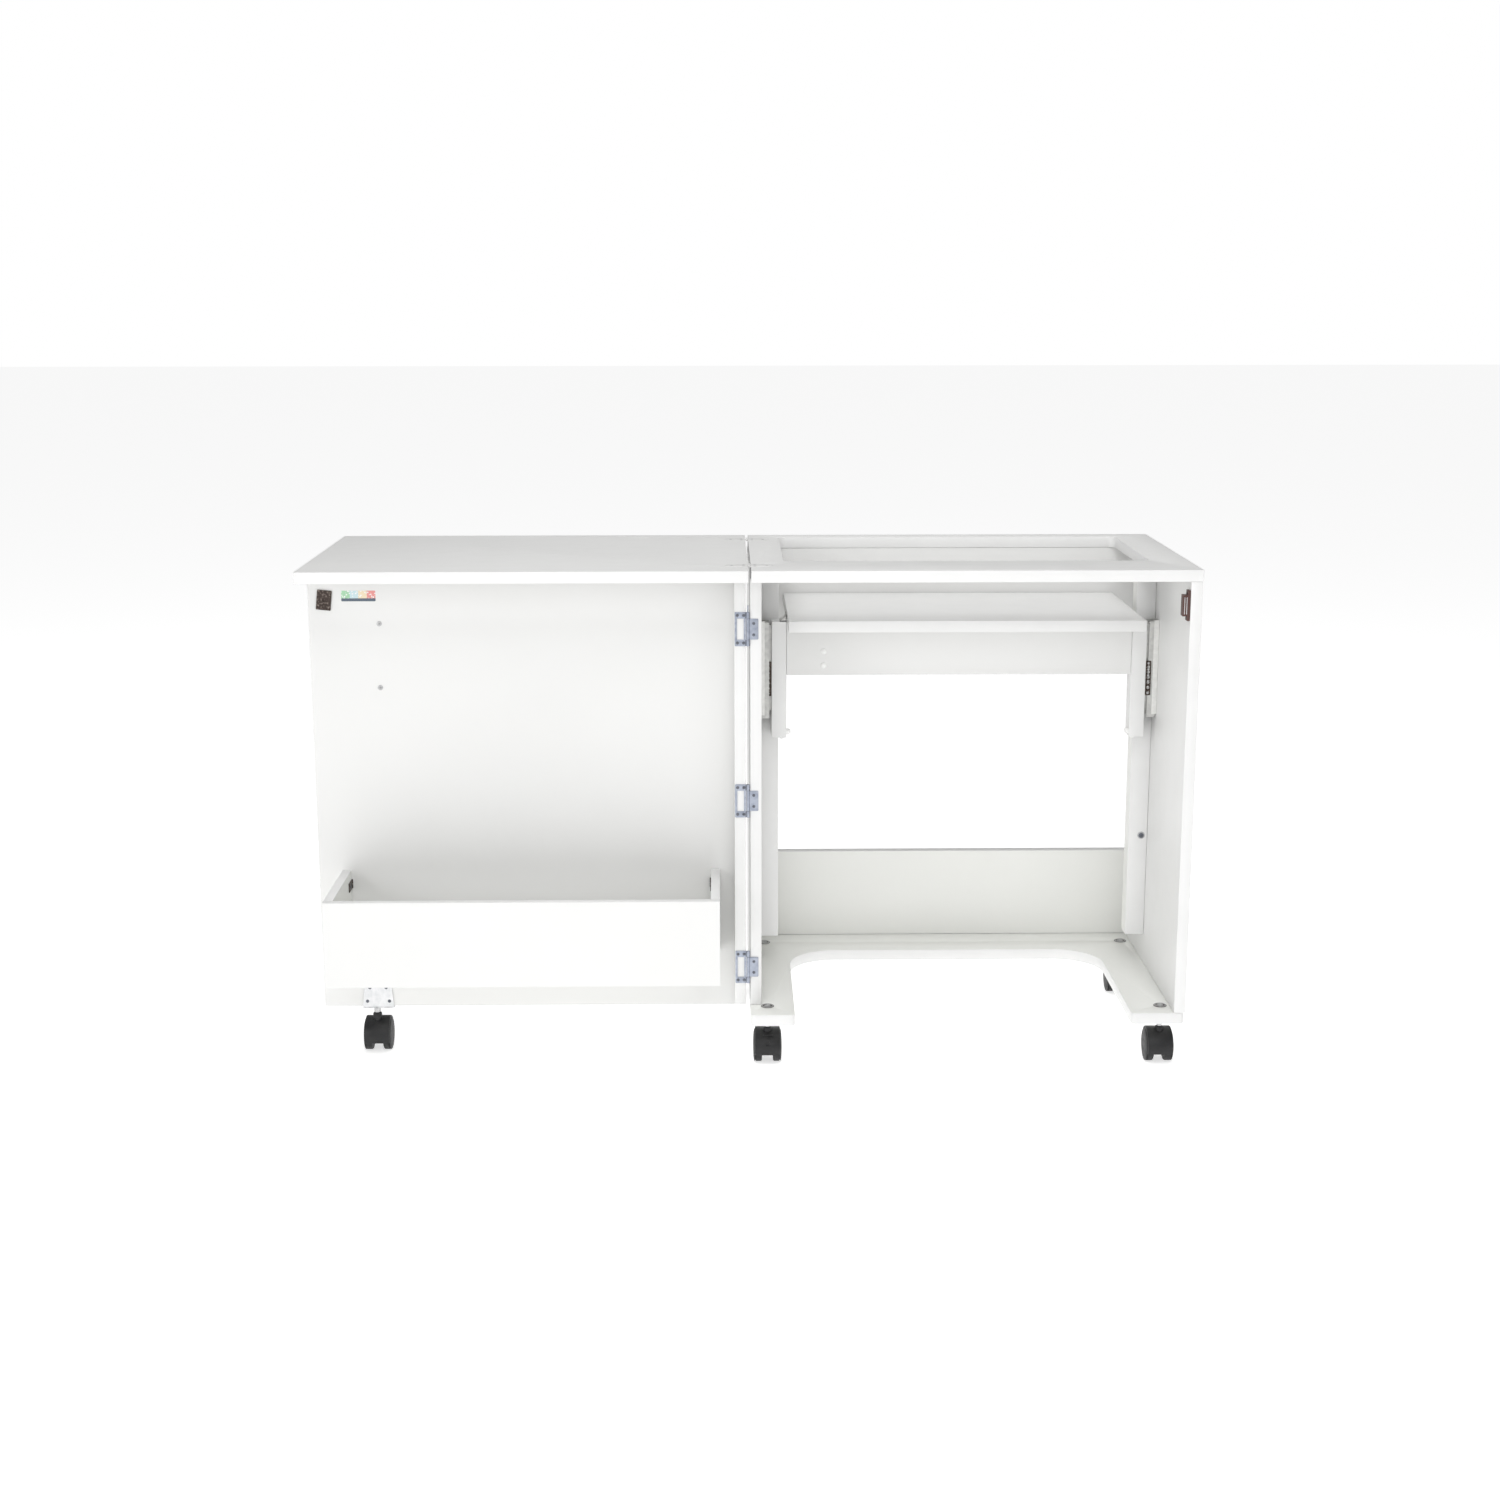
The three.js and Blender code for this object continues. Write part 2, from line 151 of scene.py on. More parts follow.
class ShaderGraph(NodeGraph):
    """A material's tree, with the patterns that the finishes share."""

    def __init__(self, material: bpy.types.Material) -> None:
        """Starts from a material's Principled shader.

        Args:
            material: a material that uses nodes.
        """
        super().__init__(material.node_tree)
        self.shader = material.node_tree.nodes["Principled BSDF"]
        self.place = self.node("ShaderNodeTexCoord").outputs["Object"]

    def stretched(self, scale: Point3) -> bpy.types.NodeSocket:
        """The object's coordinates, scaled along each axis."""
        return self.node("ShaderNodeMapping", {"Vector": self.place, "Scale": scale}).outputs[0]

    def noise(self, size_mm: float, detail: float = 2.0, place: object = None) -> bpy.types.NodeSocket:
        """Cloudy values with features of a given size.

        Args:
            size_mm: the size of a feature.
            detail: how many finer layers are added.
            place: coordinates to use in place of the object's own.

        Returns:
            A value socket from 0 to 1.
        """
        inputs = {"Vector": place or self.place, "Scale": 1.0 / (size_mm * MM), "Detail": detail}
        return self.node("ShaderNodeTexNoise", inputs).outputs["Fac"]

    def cells(self, size_mm: float) -> bpy.types.NodeSocket:
        """Distance inside small cells of a given size."""
        inputs = {"Vector": self.place, "Scale": 1.0 / (size_mm * MM)}
        return self.node("ShaderNodeTexVoronoi", inputs).outputs["Distance"]

    def fit(self, value: object, low: float, high: float, to_low: float, to_high: float) -> bpy.types.NodeSocket:
        """Maps a value's useful span to another span."""
        inputs = {"Value": value, "From Min": low, "From Max": high, "To Min": to_low, "To Max": to_high}
        return self.node("ShaderNodeMapRange", inputs).outputs[0]

    def blend(self, factor: object, first: Colour, second: Colour) -> bpy.types.NodeSocket:
        """Mixes two colours by a factor."""
        inputs = {0: factor, 6: (*first, 1.0), 7: (*second, 1.0)}
        return self.node("ShaderNodeMix", inputs, data_type="RGBA").outputs[2]

    def relief(self, height: object, depth_mm: float, strength: float = 1.0) -> None:
        """Feeds a height pattern to the shader's normal.

        Args:
            height: the pattern, 0 to 1.
            depth_mm: how deep the pattern is.
            strength: how much of it shows.
        """
        inputs = {"Height": height, "Distance": depth_mm * MM, "Strength": strength}
        self.feed(self.shader.inputs["Normal"], self.node("ShaderNodeBump", inputs).outputs[0])

    def set(self, **values: object) -> None:
        """Sets or links the shader's own inputs; an underscore in a name stands for a space."""
        for name, value in values.items():
            self.feed(self.shader.inputs[name.replace("_", " ")], value)


def shaded(colour: Colour, factor: float) -> Colour:
    """A colour made darker or lighter."""
    return tuple(min(1.0, channel * factor) for channel in colour)


# ---- Finishes -----------------------------------------------------------------------------------------


@dataclass(frozen=True)
class Finish:
    """A surface that pieces are made in."""

    name: str
    colour: Colour
    roughness: float

    def material(self) -> bpy.types.Material:
        """The finish's material, made once."""
        found = bpy.data.materials.get(self.name)
        if found is None:
            found = bpy.data.materials.new(self.name)
            found.use_nodes = True
            self.shade(ShaderGraph(found))
        return found

    def shade(self, graph: ShaderGraph) -> None:
        """Fills the material's tree."""
        raise NotImplementedError


@dataclass(frozen=True)
class Melamine(Finish):
    """Melamine-faced board: an even satin face with a fine pearl and faint handling marks."""

    pearl_mm: float = 0.9

    def shade(self, graph: ShaderGraph) -> None:
        """Fills the material's tree."""
        drift = graph.fit(graph.noise(260, 2), 0.35, 0.65, 0, 1)
        marks = graph.fit(graph.noise(38, 5), 0.45, 0.75, 0, 1)
        pearl = graph.noise(self.pearl_mm, 3)
        dimples = graph.cells(self.pearl_mm * 1.9)
        rough = graph.fit(graph.math("ADD", marks, graph.math("MULTIPLY", pearl, 0.5)), 0.1, 1.2,
                          self.roughness - 0.04, self.roughness + 0.09)
        height = graph.math("ADD", graph.math("MULTIPLY", pearl, 0.6), graph.math("MULTIPLY", dimples, 0.4))
        graph.set(Base_Color=graph.blend(drift, shaded(self.colour, 0.985), self.colour), Roughness=rough)
        graph.set(Specular_IOR_Level=0.45)
        graph.relief(height, 0.012, 0.5)


@dataclass(frozen=True)
class EdgeBand(Finish):
    """Plastic edge band: a touch glossier than the face, with faint drag lines and a scraped arris."""

    def shade(self, graph: ShaderGraph) -> None:
        """Fills the material's tree."""
        lines = graph.noise(0.8, 2, graph.stretched((0.03, 0.03, 1.0)))
        patches = graph.noise(55, 3)
        tint = graph.fit(patches, 0.35, 0.7, 0, 1)
        rough = graph.fit(lines, 0.3, 0.7, self.roughness - 0.04, self.roughness + 0.07)
        graph.set(Base_Color=graph.blend(tint, self.colour, shaded(self.colour, 0.975)), Roughness=rough)
        graph.set(Specular_IOR_Level=0.5)
        graph.relief(lines, 0.01, 0.45)


@dataclass(frozen=True)
class PlatedSteel(Finish):
    """Zinc or nickel plated sheet steel, with rolling marks, blotches and rubbed spots."""

    rub: float = 0.12
    tone: Colour = (0.55, 0.60, 0.70)
    metal: float = 1.0

    def shade(self, graph: ShaderGraph) -> None:
        """Fills the material's tree."""
        rolled = graph.noise(0.5, 3, graph.stretched((1.0, 1.0, 0.06)))
        blotches = graph.fit(graph.noise(7, 4), 0.35, 0.68, 0, 1)
        spots = graph.noise(1.6, 2)
        rough = graph.fit(graph.math("ADD", rolled, graph.math("MULTIPLY", spots, 0.6)), 0.45, 1.15,
                          self.roughness - self.rub * 0.5, self.roughness + self.rub)
        graph.set(Base_Color=graph.blend(blotches, self.colour, self.tone), Roughness=rough, Metallic=self.metal)
        graph.relief(rolled, 0.015, 0.5)


@dataclass(frozen=True)
class DarkSteel(Finish):
    """Bronzed steel: dark lacquer that is thin on its high spots."""

    bare: Colour = (0.30, 0.25, 0.22)

    def shade(self, graph: ShaderGraph) -> None:
        """Fills the material's tree."""
        thin = graph.fit(graph.noise(3.2, 5), 0.52, 0.74, 0, 1)
        grit = graph.noise(0.5, 3)
        graph.set(Base_Color=graph.blend(thin, self.colour, self.bare), Metallic=0.65)
        graph.set(Roughness=graph.fit(grit, 0.3, 0.7, self.roughness - 0.08, self.roughness + 0.1))
        graph.relief(grit, 0.02, 0.6)


@dataclass(frozen=True)
class Moulded(Finish):
    """Moulded plastic: spark-eroded grain, uneven sheen, and dust where it is asked for."""

    grain_mm: float = 0.35
    dust: float = 0.0

    def shade(self, graph: ShaderGraph) -> None:
        """Fills the material's tree."""
        grain = graph.noise(self.grain_mm, 3)
        sheen = graph.noise(9, 4)
        dusty = graph.fit(graph.noise(2.4, 6), 0.5, 0.78, 0, self.dust)
        graph.set(Base_Color=graph.blend(dusty, self.colour, (0.32, 0.31, 0.29)))
        graph.set(Roughness=graph.fit(sheen, 0.3, 0.7, self.roughness - 0.06, self.roughness + 0.1))
        graph.set(Specular_IOR_Level=0.4)
        graph.relief(grain, 0.02, 0.55)


@dataclass(frozen=True)
class ColourStrip(Finish):
    """A small printed label: plain blocks of colour side by side above a dark rule."""

    left_mm: float = 0.0
    width_mm: float = 53.0
    rule_mm: float = 0.0

    BLOCKS = ((0.36, 0.62, 0.40), (0.55, 0.70, 0.74), (0.80, 0.68, 0.48), (0.76, 0.30, 0.28))

    def shade(self, graph: ShaderGraph) -> None:
        """Fills the material's tree."""
        parts = graph.node("ShaderNodeSeparateXYZ", {0: graph.place}).outputs
        across = graph.fit(parts["X"], self.left_mm * MM, (self.left_mm + self.width_mm) * MM, 0, 1)
        ramp = graph.node("ShaderNodeValToRGB", {0: across})
        ramp.color_ramp.interpolation = "CONSTANT"
        ramp.color_ramp.elements[0].color = (*self.BLOCKS[0], 1)
        ramp.color_ramp.elements[1].position = 0.25
        ramp.color_ramp.elements[1].color = (*self.BLOCKS[1], 1)
        for step, colour in enumerate(self.BLOCKS[2:], start=2):
            ramp.color_ramp.elements.new(step * 0.25).color = (*colour, 1)
        dots = graph.math("LESS_THAN", graph.cells(3.2), 0.34)
        pale = graph.node("ShaderNodeMix", {0: dots, 6: ramp.outputs[0], 7: (0.86, 0.86, 0.85, 1)}, data_type="RGBA")
        above = graph.math("GREATER_THAN", parts["Z"], self.rule_mm * MM)
        inputs = {0: above, 6: (0.10, 0.13, 0.17, 1), 7: pale.outputs[2]}
        mix = graph.node("ShaderNodeMix", inputs, data_type="RGBA")
        print_grain = graph.noise(0.6, 2)
        graph.set(Base_Color=mix.outputs[2])
        graph.set(Roughness=graph.fit(print_grain, 0.3, 0.7, self.roughness - 0.05, self.roughness + 0.05))
        graph.relief(print_grain, 0.004, 0.4)


MELAMINE = Melamine("white melamine face", (0.772, 0.772, 0.762), 0.40)
BAND = EdgeBand("white edge band", (0.77, 0.77, 0.765), 0.33)
ZINC = PlatedSteel("zinc plated steel", (0.40, 0.43, 0.50), 0.34, tone=(0.30, 0.33, 0.40))
# Screw heads are zinc painted darker than the other zinc fittings: painted shade of the countersink gap round each
# head.
SCREW_ZINC_PAINTED_DARKER = PlatedSteel("dull zinc screw", (0.20, 0.21, 0.24), 0.42, tone=(0.13, 0.14, 0.16))
# The outer slide members are the same zinc as the middle and inner ones, painted paler and less metallic: painted
# light that lifts the shade they sit in.
RAIL_OUTER_PAINTED_LIGHTER = PlatedSteel("bright zinc slide rail", (0.80, 0.80, 0.78), 0.38, tone=(0.72, 0.72, 0.70), metal=0.3)
RAIL_INNER = PlatedSteel("grey zinc slide rail", (0.60, 0.60, 0.58), 0.38, tone=(0.50, 0.50, 0.49), metal=0.5)
PALE_ZINC = PlatedSteel("pale zinc plate", (0.72, 0.72, 0.73), 0.40, tone=(0.62, 0.63, 0.64))
SATIN_NICKEL = PlatedSteel("satin nickel", (0.58, 0.58, 0.58), 0.40, tone=(0.46, 0.46, 0.47))
BRONZE = DarkSteel("bronzed steel", (0.052, 0.038, 0.032), 0.42)
BROWN_PLASTIC = Moulded("brown moulded plastic", (0.085, 0.040, 0.034), 0.45)
BLACK_NYLON = Moulded("black nylon", (0.011, 0.011, 0.012), 0.40, dust=0.02)
BLACK_TREAD = Moulded("black nylon tread", (0.012, 0.012, 0.013), 0.50, dust=0.06)
WHITE_NYLON = Moulded("white nylon", (0.86, 0.86, 0.85), 0.38)
WHITE_LACQUER = Moulded("white lacquered hinge steel", (0.74, 0.74, 0.73), 0.33, grain_mm=0.6)
# A paler copy of the white melamine for boards in recesses and under the cabinet: painted light that lifts their
# shade.
RECESS_MELAMINE_PAINTED_LIGHTER = Melamine("white melamine face, inside", (0.85, 0.855, 0.825), 0.42)


# ---- Mesh work ----------------------------------------------------------------------------------------


def metres(points: Iterable[Sequence[float]]) -> list[Vector]:
    """Points in millimetres as vectors in metres."""
    return [Vector(point) * MM for point in points]


def arc(cx: float, cy: float, r: float, start: float, end: float, steps: int = 10) -> list[Point2]:
    """Points on an arc.

    Args:
        cx: centre along the first axis.
        cy: centre along the second axis.
        r: radius.
        start: first angle in degrees.
        end: last angle in degrees.
        steps: how many chords.

    Returns:
        The points, both ends included.
    """
    turns = [math.radians(start + (end - start) * i / steps) for i in range(steps + 1)]
    return [(cx + r * math.cos(t), cy + r * math.sin(t)) for t in turns]


def rounded_rectangle(x0: float, x1: float, y0: float, y1: float, r: float, steps: int = 6) -> list[Point2]:
    """A rectangle's outline with round corners."""
    return (arc(x1 - r, y0 + r, r, -90, 0, steps) + arc(x1 - r, y1 - r, r, 0, 90, steps)
            + arc(x0 + r, y1 - r, r, 90, 180, steps) + arc(x0 + r, y0 + r, r, 180, 270, steps))


def circle(cx: float, cy: float, r: float, steps: int = 28) -> list[Point2]:
    """A circle's outline."""
    return arc(cx, cy, r, 0, 360 * (steps - 1) / steps, steps - 1)


class Form:
    """A mesh being worked on, made of closed bodies."""

    def __init__(self) -> None:
        """Starts empty."""
        self.mesh = bmesh.new()

    def absorb(self, other: "Form", place: Matrix | None = None) -> "Form":
        """Takes another form's bodies into this one.

        Args:
            other: the form that is used up.
            place: where its bodies go, in metres.

        Returns:
            This form.
        """
        if place is not None:
            other.mesh.transform(place)
        loose = bpy.data.meshes.new("loose")
        other.mesh.to_mesh(loose)
        other.mesh.free()
        self.mesh.from_mesh(loose)
        bpy.data.meshes.remove(loose)
        return self

    def paint(self, slot: int) -> "Form":
        """Gives every face one material place."""
        for face in self.mesh.faces:
            face.material_index = slot
        return self

    def skin(self, rings: Sequence[Sequence[bmesh.types.BMVert]], joined: bool = False) -> None:
        """Puts faces between rings of points.

        Args:
            rings: the rings in order, all with the same count.
            joined: whether the last ring meets the first.
        """
        following = [*rings[1:], rings[0]] if joined else rings[1:]
        for low, high in zip(rings, following):
            for i in range(len(low)):
                j = (i + 1) % len(low)
                self.mesh.faces.new((low[i], low[j], high[j], high[i]))

    def soften(self, edges: Iterable[bmesh.types.BMEdge], width_mm: float, segments: int, slot: int = -1) -> None:
        """Rounds edges over.

        Args:
            edges: the edges.
            width_mm: how far the rounding reaches.
            segments: how many faces it has across.
            slot: the material place of the new faces, or -1 to keep their neighbours'.
        """
        bmesh.ops.bevel(self.mesh, geom=list(edges), offset=width_mm * MM, offset_type="OFFSET", segments=segments,
                        profile=0.5, affect="EDGES", clamp_overlap=True, material=slot)

    @classmethod
    def board(cls, low: Vector, high: Vector, arris_mm: float = 0.7, band_mm: float = 1.0) -> "Form":
        """A banded board between two corners.

        Args:
            low: lowest corner in metres.
            high: highest corner in metres.
            arris_mm: rounding of its edges.
            band_mm: thickness of the edge band, which shows as a rim on both faces.

        Returns:
            The form, with faces in material place 0 and bands in place 1.
        """
        form = cls()
        bmesh.ops.create_cube(form.mesh, size=1.0)
        size = high - low
        bmesh.ops.scale(form.mesh, vec=size, verts=form.mesh.verts)
        bmesh.ops.translate(form.mesh, vec=(low + high) / 2, verts=form.mesh.verts)
        thin = min(range(3), key=lambda axis: size[axis])
        outer = list(form.mesh.edges)
        wide = [face for face in form.mesh.faces if abs(face.normal[thin]) > 0.5]
        form.paint(1)
        bmesh.ops.inset_individual(form.mesh, faces=wide, thickness=band_mm * MM, use_even_offset=True)
        for face in wide:
            face.material_index = 0
        form.soften(outer, arris_mm, 2, 1)
        return form

    @classmethod
    def block(cls, low: Point3, high: Point3, arris_mm: float, band_mm: float) -> "Form":
        """A board between two corners in millimetres."""
        return cls.board(Vector(low) * MM, Vector(high) * MM, arris_mm, band_mm)

    @classmethod
    def plate(cls, loops: Sequence[Sequence[Point2]], z0: float, z1: float, arris_mm: float = 0.4,
              segments: int = 2, side_slot: int = 0) -> "Form":
        """A flat plate of any outline, with holes.

        Args:
            loops: the outline, then the holes, in millimetres.
            z0: height of the lower face in millimetres.
            z1: height of the upper face in millimetres.
            arris_mm: rounding of both rims.
            segments: faces across the rounding.
            side_slot: the material place of the side faces.

        Returns:
            The form.
        """
        form = cls()
        rings = [[Vector((x, y, 0)) for x, y in loop] for loop in loops]
        flat = [point for ring in rings for point in ring]
        lower = [form.mesh.verts.new((p.x * MM, p.y * MM, z0 * MM)) for p in flat]
        upper = [form.mesh.verts.new((p.x * MM, p.y * MM, z1 * MM)) for p in flat]
        for a, b, c in tessellate_polygon(rings):
            form.mesh.faces.new((upper[a], upper[b], upper[c]))
            form.mesh.faces.new((lower[c], lower[b], lower[a]))
        rims = []
        start = 0
        for ring in rings:
            for i in range(len(ring)):
                a, b = start + i, start + (i + 1) % len(ring)
                wall = form.mesh.faces.new((lower[a], lower[b], upper[b], upper[a]))
                wall.material_index = side_slot
                rims += [edge for edge in wall.edges if abs(edge.verts[0].co.z - edge.verts[1].co.z) < 1e-7]
            start += len(ring)
        bmesh.ops.recalc_face_normals(form.mesh, faces=form.mesh.faces)
        if arris_mm > 0:
            form.soften(rims, arris_mm, segments, side_slot)
        return form

    @classmethod
    def turned(cls, profile: Sequence[Point2], segments: int = 40, slot: int = 0) -> "Form":
        """A turned body about the Z axis.

        Args:
            profile: radius and height pairs in millimetres, from axis to axis.
            segments: faces around.
            slot: its material place.

        Returns:
            The form.
        """
        form = cls()
        rings: list[list[bmesh.types.BMVert]] = []
        for r, h in profile:
            if r < 1e-6:
                rings.append([form.mesh.verts.new((0, 0, h * MM))])
                continue
            turns = [2 * math.pi * i / segments for i in range(segments)]
            rings.append([form.mesh.verts.new((r * MM * math.cos(t), r * MM * math.sin(t), h * MM)) for t in turns])
        for low, high in zip(rings, rings[1:]):
            for i in range(segments):
                j = (i + 1) % segments
                corners = [low[i % len(low)], low[j % len(low)], high[j % len(high)], high[i % len(high)]]
                face = form.mesh.faces.new(list(dict.fromkeys(corners)))
                face.material_index = slot
        bmesh.ops.recalc_face_normals(form.mesh, faces=form.mesh.faces)
        return form

    @classmethod
    def ring(cls, section: Sequence[Point2], segments: int = 40) -> "Form":
        """A ring about the Z axis.

        Args:
            section: radius and height pairs in millimetres, a closed loop away from the axis.
            segments: faces around.

        Returns:
            The form.
        """
        form = cls()
        rings = []
        for i in range(segments):
            t = 2 * math.pi * i / segments
            rings.append([form.mesh.verts.new((r * MM * math.cos(t), r * MM * math.sin(t), h * MM))
                          for r, h in section])
        form.skin(rings, joined=True)
        bmesh.ops.recalc_face_normals(form.mesh, faces=form.mesh.faces)
        return form

    @classmethod
    def swept_round(cls, section: Sequence[Point2], start: float, end: float, steps: int) -> "Form":
        """A closed section swept part of the way round the X axis.

        Args:
            section: X and radius pairs in millimetres.
            start: first angle in degrees, from +Y towards +Z.
            end: last angle in degrees.
            steps: faces along the sweep.

        Returns:
            The form, with both ends closed.
        """
        form = cls()
        rings = []
        for i in range(steps + 1):
            t = math.radians(start + (end - start) * i / steps)
            rings.append([form.mesh.verts.new((x * MM, r * MM * math.cos(t), r * MM * math.sin(t)))
                          for x, r in section])
        form.skin(rings)
        form.mesh.faces.new(rings[0])
        form.mesh.faces.new(list(reversed(rings[-1])))
        bmesh.ops.recalc_face_normals(form.mesh, faces=form.mesh.faces)
        return form

    def cut(self, tool: "Form") -> "Form":
        """Cuts another form's bodies out of this one.

        Args:
            tool: the form that is cut away and used up.

        Returns:
            This form.
        """
        holders = []
        for form in (self, tool):
            data = bpy.data.meshes.new("cut")
            form.mesh.to_mesh(data)
            form.mesh.free()
            holder = bpy.data.objects.new("cut", data)
            bpy.context.scene.collection.objects.link(holder)
            holders.append(holder)
        work, cutter = holders
        boolean = work.modifiers.new("cut", "BOOLEAN")
        boolean.operation = "DIFFERENCE"
        boolean.solver = "EXACT"
        boolean.object = cutter
        graph = bpy.context.evaluated_depsgraph_get()
        result = bpy.data.meshes.new_from_object(work.evaluated_get(graph), depsgraph=graph)
        self.mesh = bmesh.new()
        self.mesh.from_mesh(result)
        for holder in holders:
            data = holder.data
            bpy.data.objects.remove(holder)
            bpy.data.meshes.remove(data)
        bpy.data.meshes.remove(result)
        return self

    def mesh_data(self, name: str, finishes: Sequence[Finish]) -> bpy.types.Mesh:
        """Turns the form into a shaded mesh and uses it up.

        Args:
            name: the mesh's name.
            finishes: one finish for each material place.

        Returns:
            The mesh.
        """
        data = bpy.data.meshes.new(name)
        self.mesh.to_mesh(data)
        self.mesh.free()
        for finish in finishes:
            data.materials.append(finish.material())
        data.shade_smooth()
        data.set_sharp_from_angle(angle=SHARP_ANGLE)
        return data


def bar_profile(r: float, low: float, high: float, arris: float = 0.3) -> list[Point2]:
    """The profile of a round bar with eased ends."""
    return [(0, low), (r - arris, low), (r, low + arris), (r, high - arris), (r - arris, high), (0, high)]


def upright_at(point: Point3) -> Matrix:
    """A place in millimetres, unturned."""
    return Matrix.Translation(Vector(point) * MM)


def facing(point: Point3, direction: Point3) -> Matrix:
    """A place in millimetres whose Z axis looks along a direction."""
    return upright_at(point) @ Vector(direction).to_track_quat("Z", "Y").to_matrix().to_4x4()


def standing(y: float, x: float = 0.0) -> Matrix:
    """Stands a plate drawn in X and Z at a depth, with its upper face towards the front."""
    return upright_at((x, y, 0)) @ Matrix.Rotation(math.radians(90), 4, "X")


def box_mm(node: str) -> tuple[Vector, Vector]:
    """A CAD node's lowest and highest corner, in millimetres."""
    low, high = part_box(node)
    return low / MM, high / MM


def mount(name: str, data: bpy.types.Mesh, body: str, nodes: Sequence[str] = ()) -> None:
    """Hands a finished mesh to the frame.

    Args:
        name: the piece's name.
        data: its mesh, in place.
        body: the body that it rides on.
        nodes: the CAD nodes that it stands for.
    """
    piece = bpy.data.objects.new(name, data)
    bpy.context.scene.collection.objects.link(piece)
    rider = body.value if isinstance(body, Body) else body
    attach(piece, rider)
    if nodes:
        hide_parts(*nodes)
    LOG.info("%s rides on %s, %d faces", name, rider, len(data.polygons))


def finish_node(node: str, form: Form, finishes: Sequence[Finish], body: str) -> None:
    """Puts a finished form in the place of a CAD node.

    Args:
        node: the CAD node that it stands for.
        form: the form, which is used up.
        finishes: one finish for each material place.
        body: the body that it rides on.
    """
    mount(f"{node}_finished", form.mesh_data(node, finishes), body, (node,))


def add_piece(name: str, form: Form, finish: Finish, body: str) -> None:
    """Adds a small piece that the CAD leaves out, in one finish."""
    mount(name, form.mesh_data(name, (finish,)), body)


def dress(node: bpy.types.Object, finish: Finish) -> None:
    """Gives a CAD node a finish in place of its plain colour."""
    node.data.materials.clear()
    node.data.materials.append(finish.material())


# ---- Repeated small parts, made by Geometry Nodes -----------------------------------------------------


class GeometryTree(NodeGraph):
    """A Geometry Nodes tree with named size inputs, ending in Realize Instances and Set Material."""

    def __init__(self, name: str, sizes: dict[str, float]) -> None:
        """Opens a tree.

        Args:
            name: the tree's name.
            sizes: its named inputs and their usual values, in metres.
        """
        super().__init__(bpy.data.node_groups.new(name, "GeometryNodeTree"))
        face = self.tree.interface
        face.new_socket("Geometry", in_out="INPUT", socket_type="NodeSocketGeometry")
        face.new_socket("Geometry", in_out="OUTPUT", socket_type="NodeSocketGeometry")
        for label, value in sizes.items():
            face.new_socket(label, in_out="INPUT", socket_type="NodeSocketFloat").default_value = value
        face.new_socket("Finish", in_out="INPUT", socket_type="NodeSocketMaterial")
        self.given = self.node("NodeGroupInput").outputs

    def close(self, instances: bpy.types.NodeSocket) -> None:
        """Ends the tree: real geometry in its material."""
        real = self.node("GeometryNodeRealizeInstances", {0: instances})
        inputs = {"Geometry": real.outputs[0], "Material": self.given["Finish"]}
        painted = self.node("GeometryNodeSetMaterial", inputs)
        self.node("NodeGroupOutput", {0: painted.outputs[0]})

    def made_on(self, name: str, data: bpy.types.Mesh, finish: Finish, sizes: dict[str, float]) -> bpy.types.Mesh:
        """Runs the tree on a mesh.

        Args:
            name: the result's name.
            data: the mesh that it starts from.
            finish: the finish of what it makes.
            sizes: values for its named inputs, in metres.

        Returns:
            The result as a plain mesh.
        """
        holder = bpy.data.objects.new(name, data)
        bpy.context.scene.collection.objects.link(holder)
        modifier = holder.modifiers.new(name, "NODES")
        modifier.node_group = self.tree
        for item in self.tree.interface.items_tree:
            if item.in_out == "INPUT" and item.name in sizes:
                modifier[item.identifier] = sizes[item.name]
            if item.in_out == "INPUT" and item.name == "Finish":
                modifier[item.identifier] = finish.material()
        graph = bpy.context.evaluated_depsgraph_get()
        result = bpy.data.meshes.new_from_object(holder.evaluated_get(graph), depsgraph=graph)
        holder.modifiers.remove(modifier)
        bpy.data.objects.remove(holder)
        bpy.data.meshes.remove(data)
        result.name = name
        result.shade_smooth()
        result.set_sharp_from_angle(angle=SHARP_ANGLE)
        return result


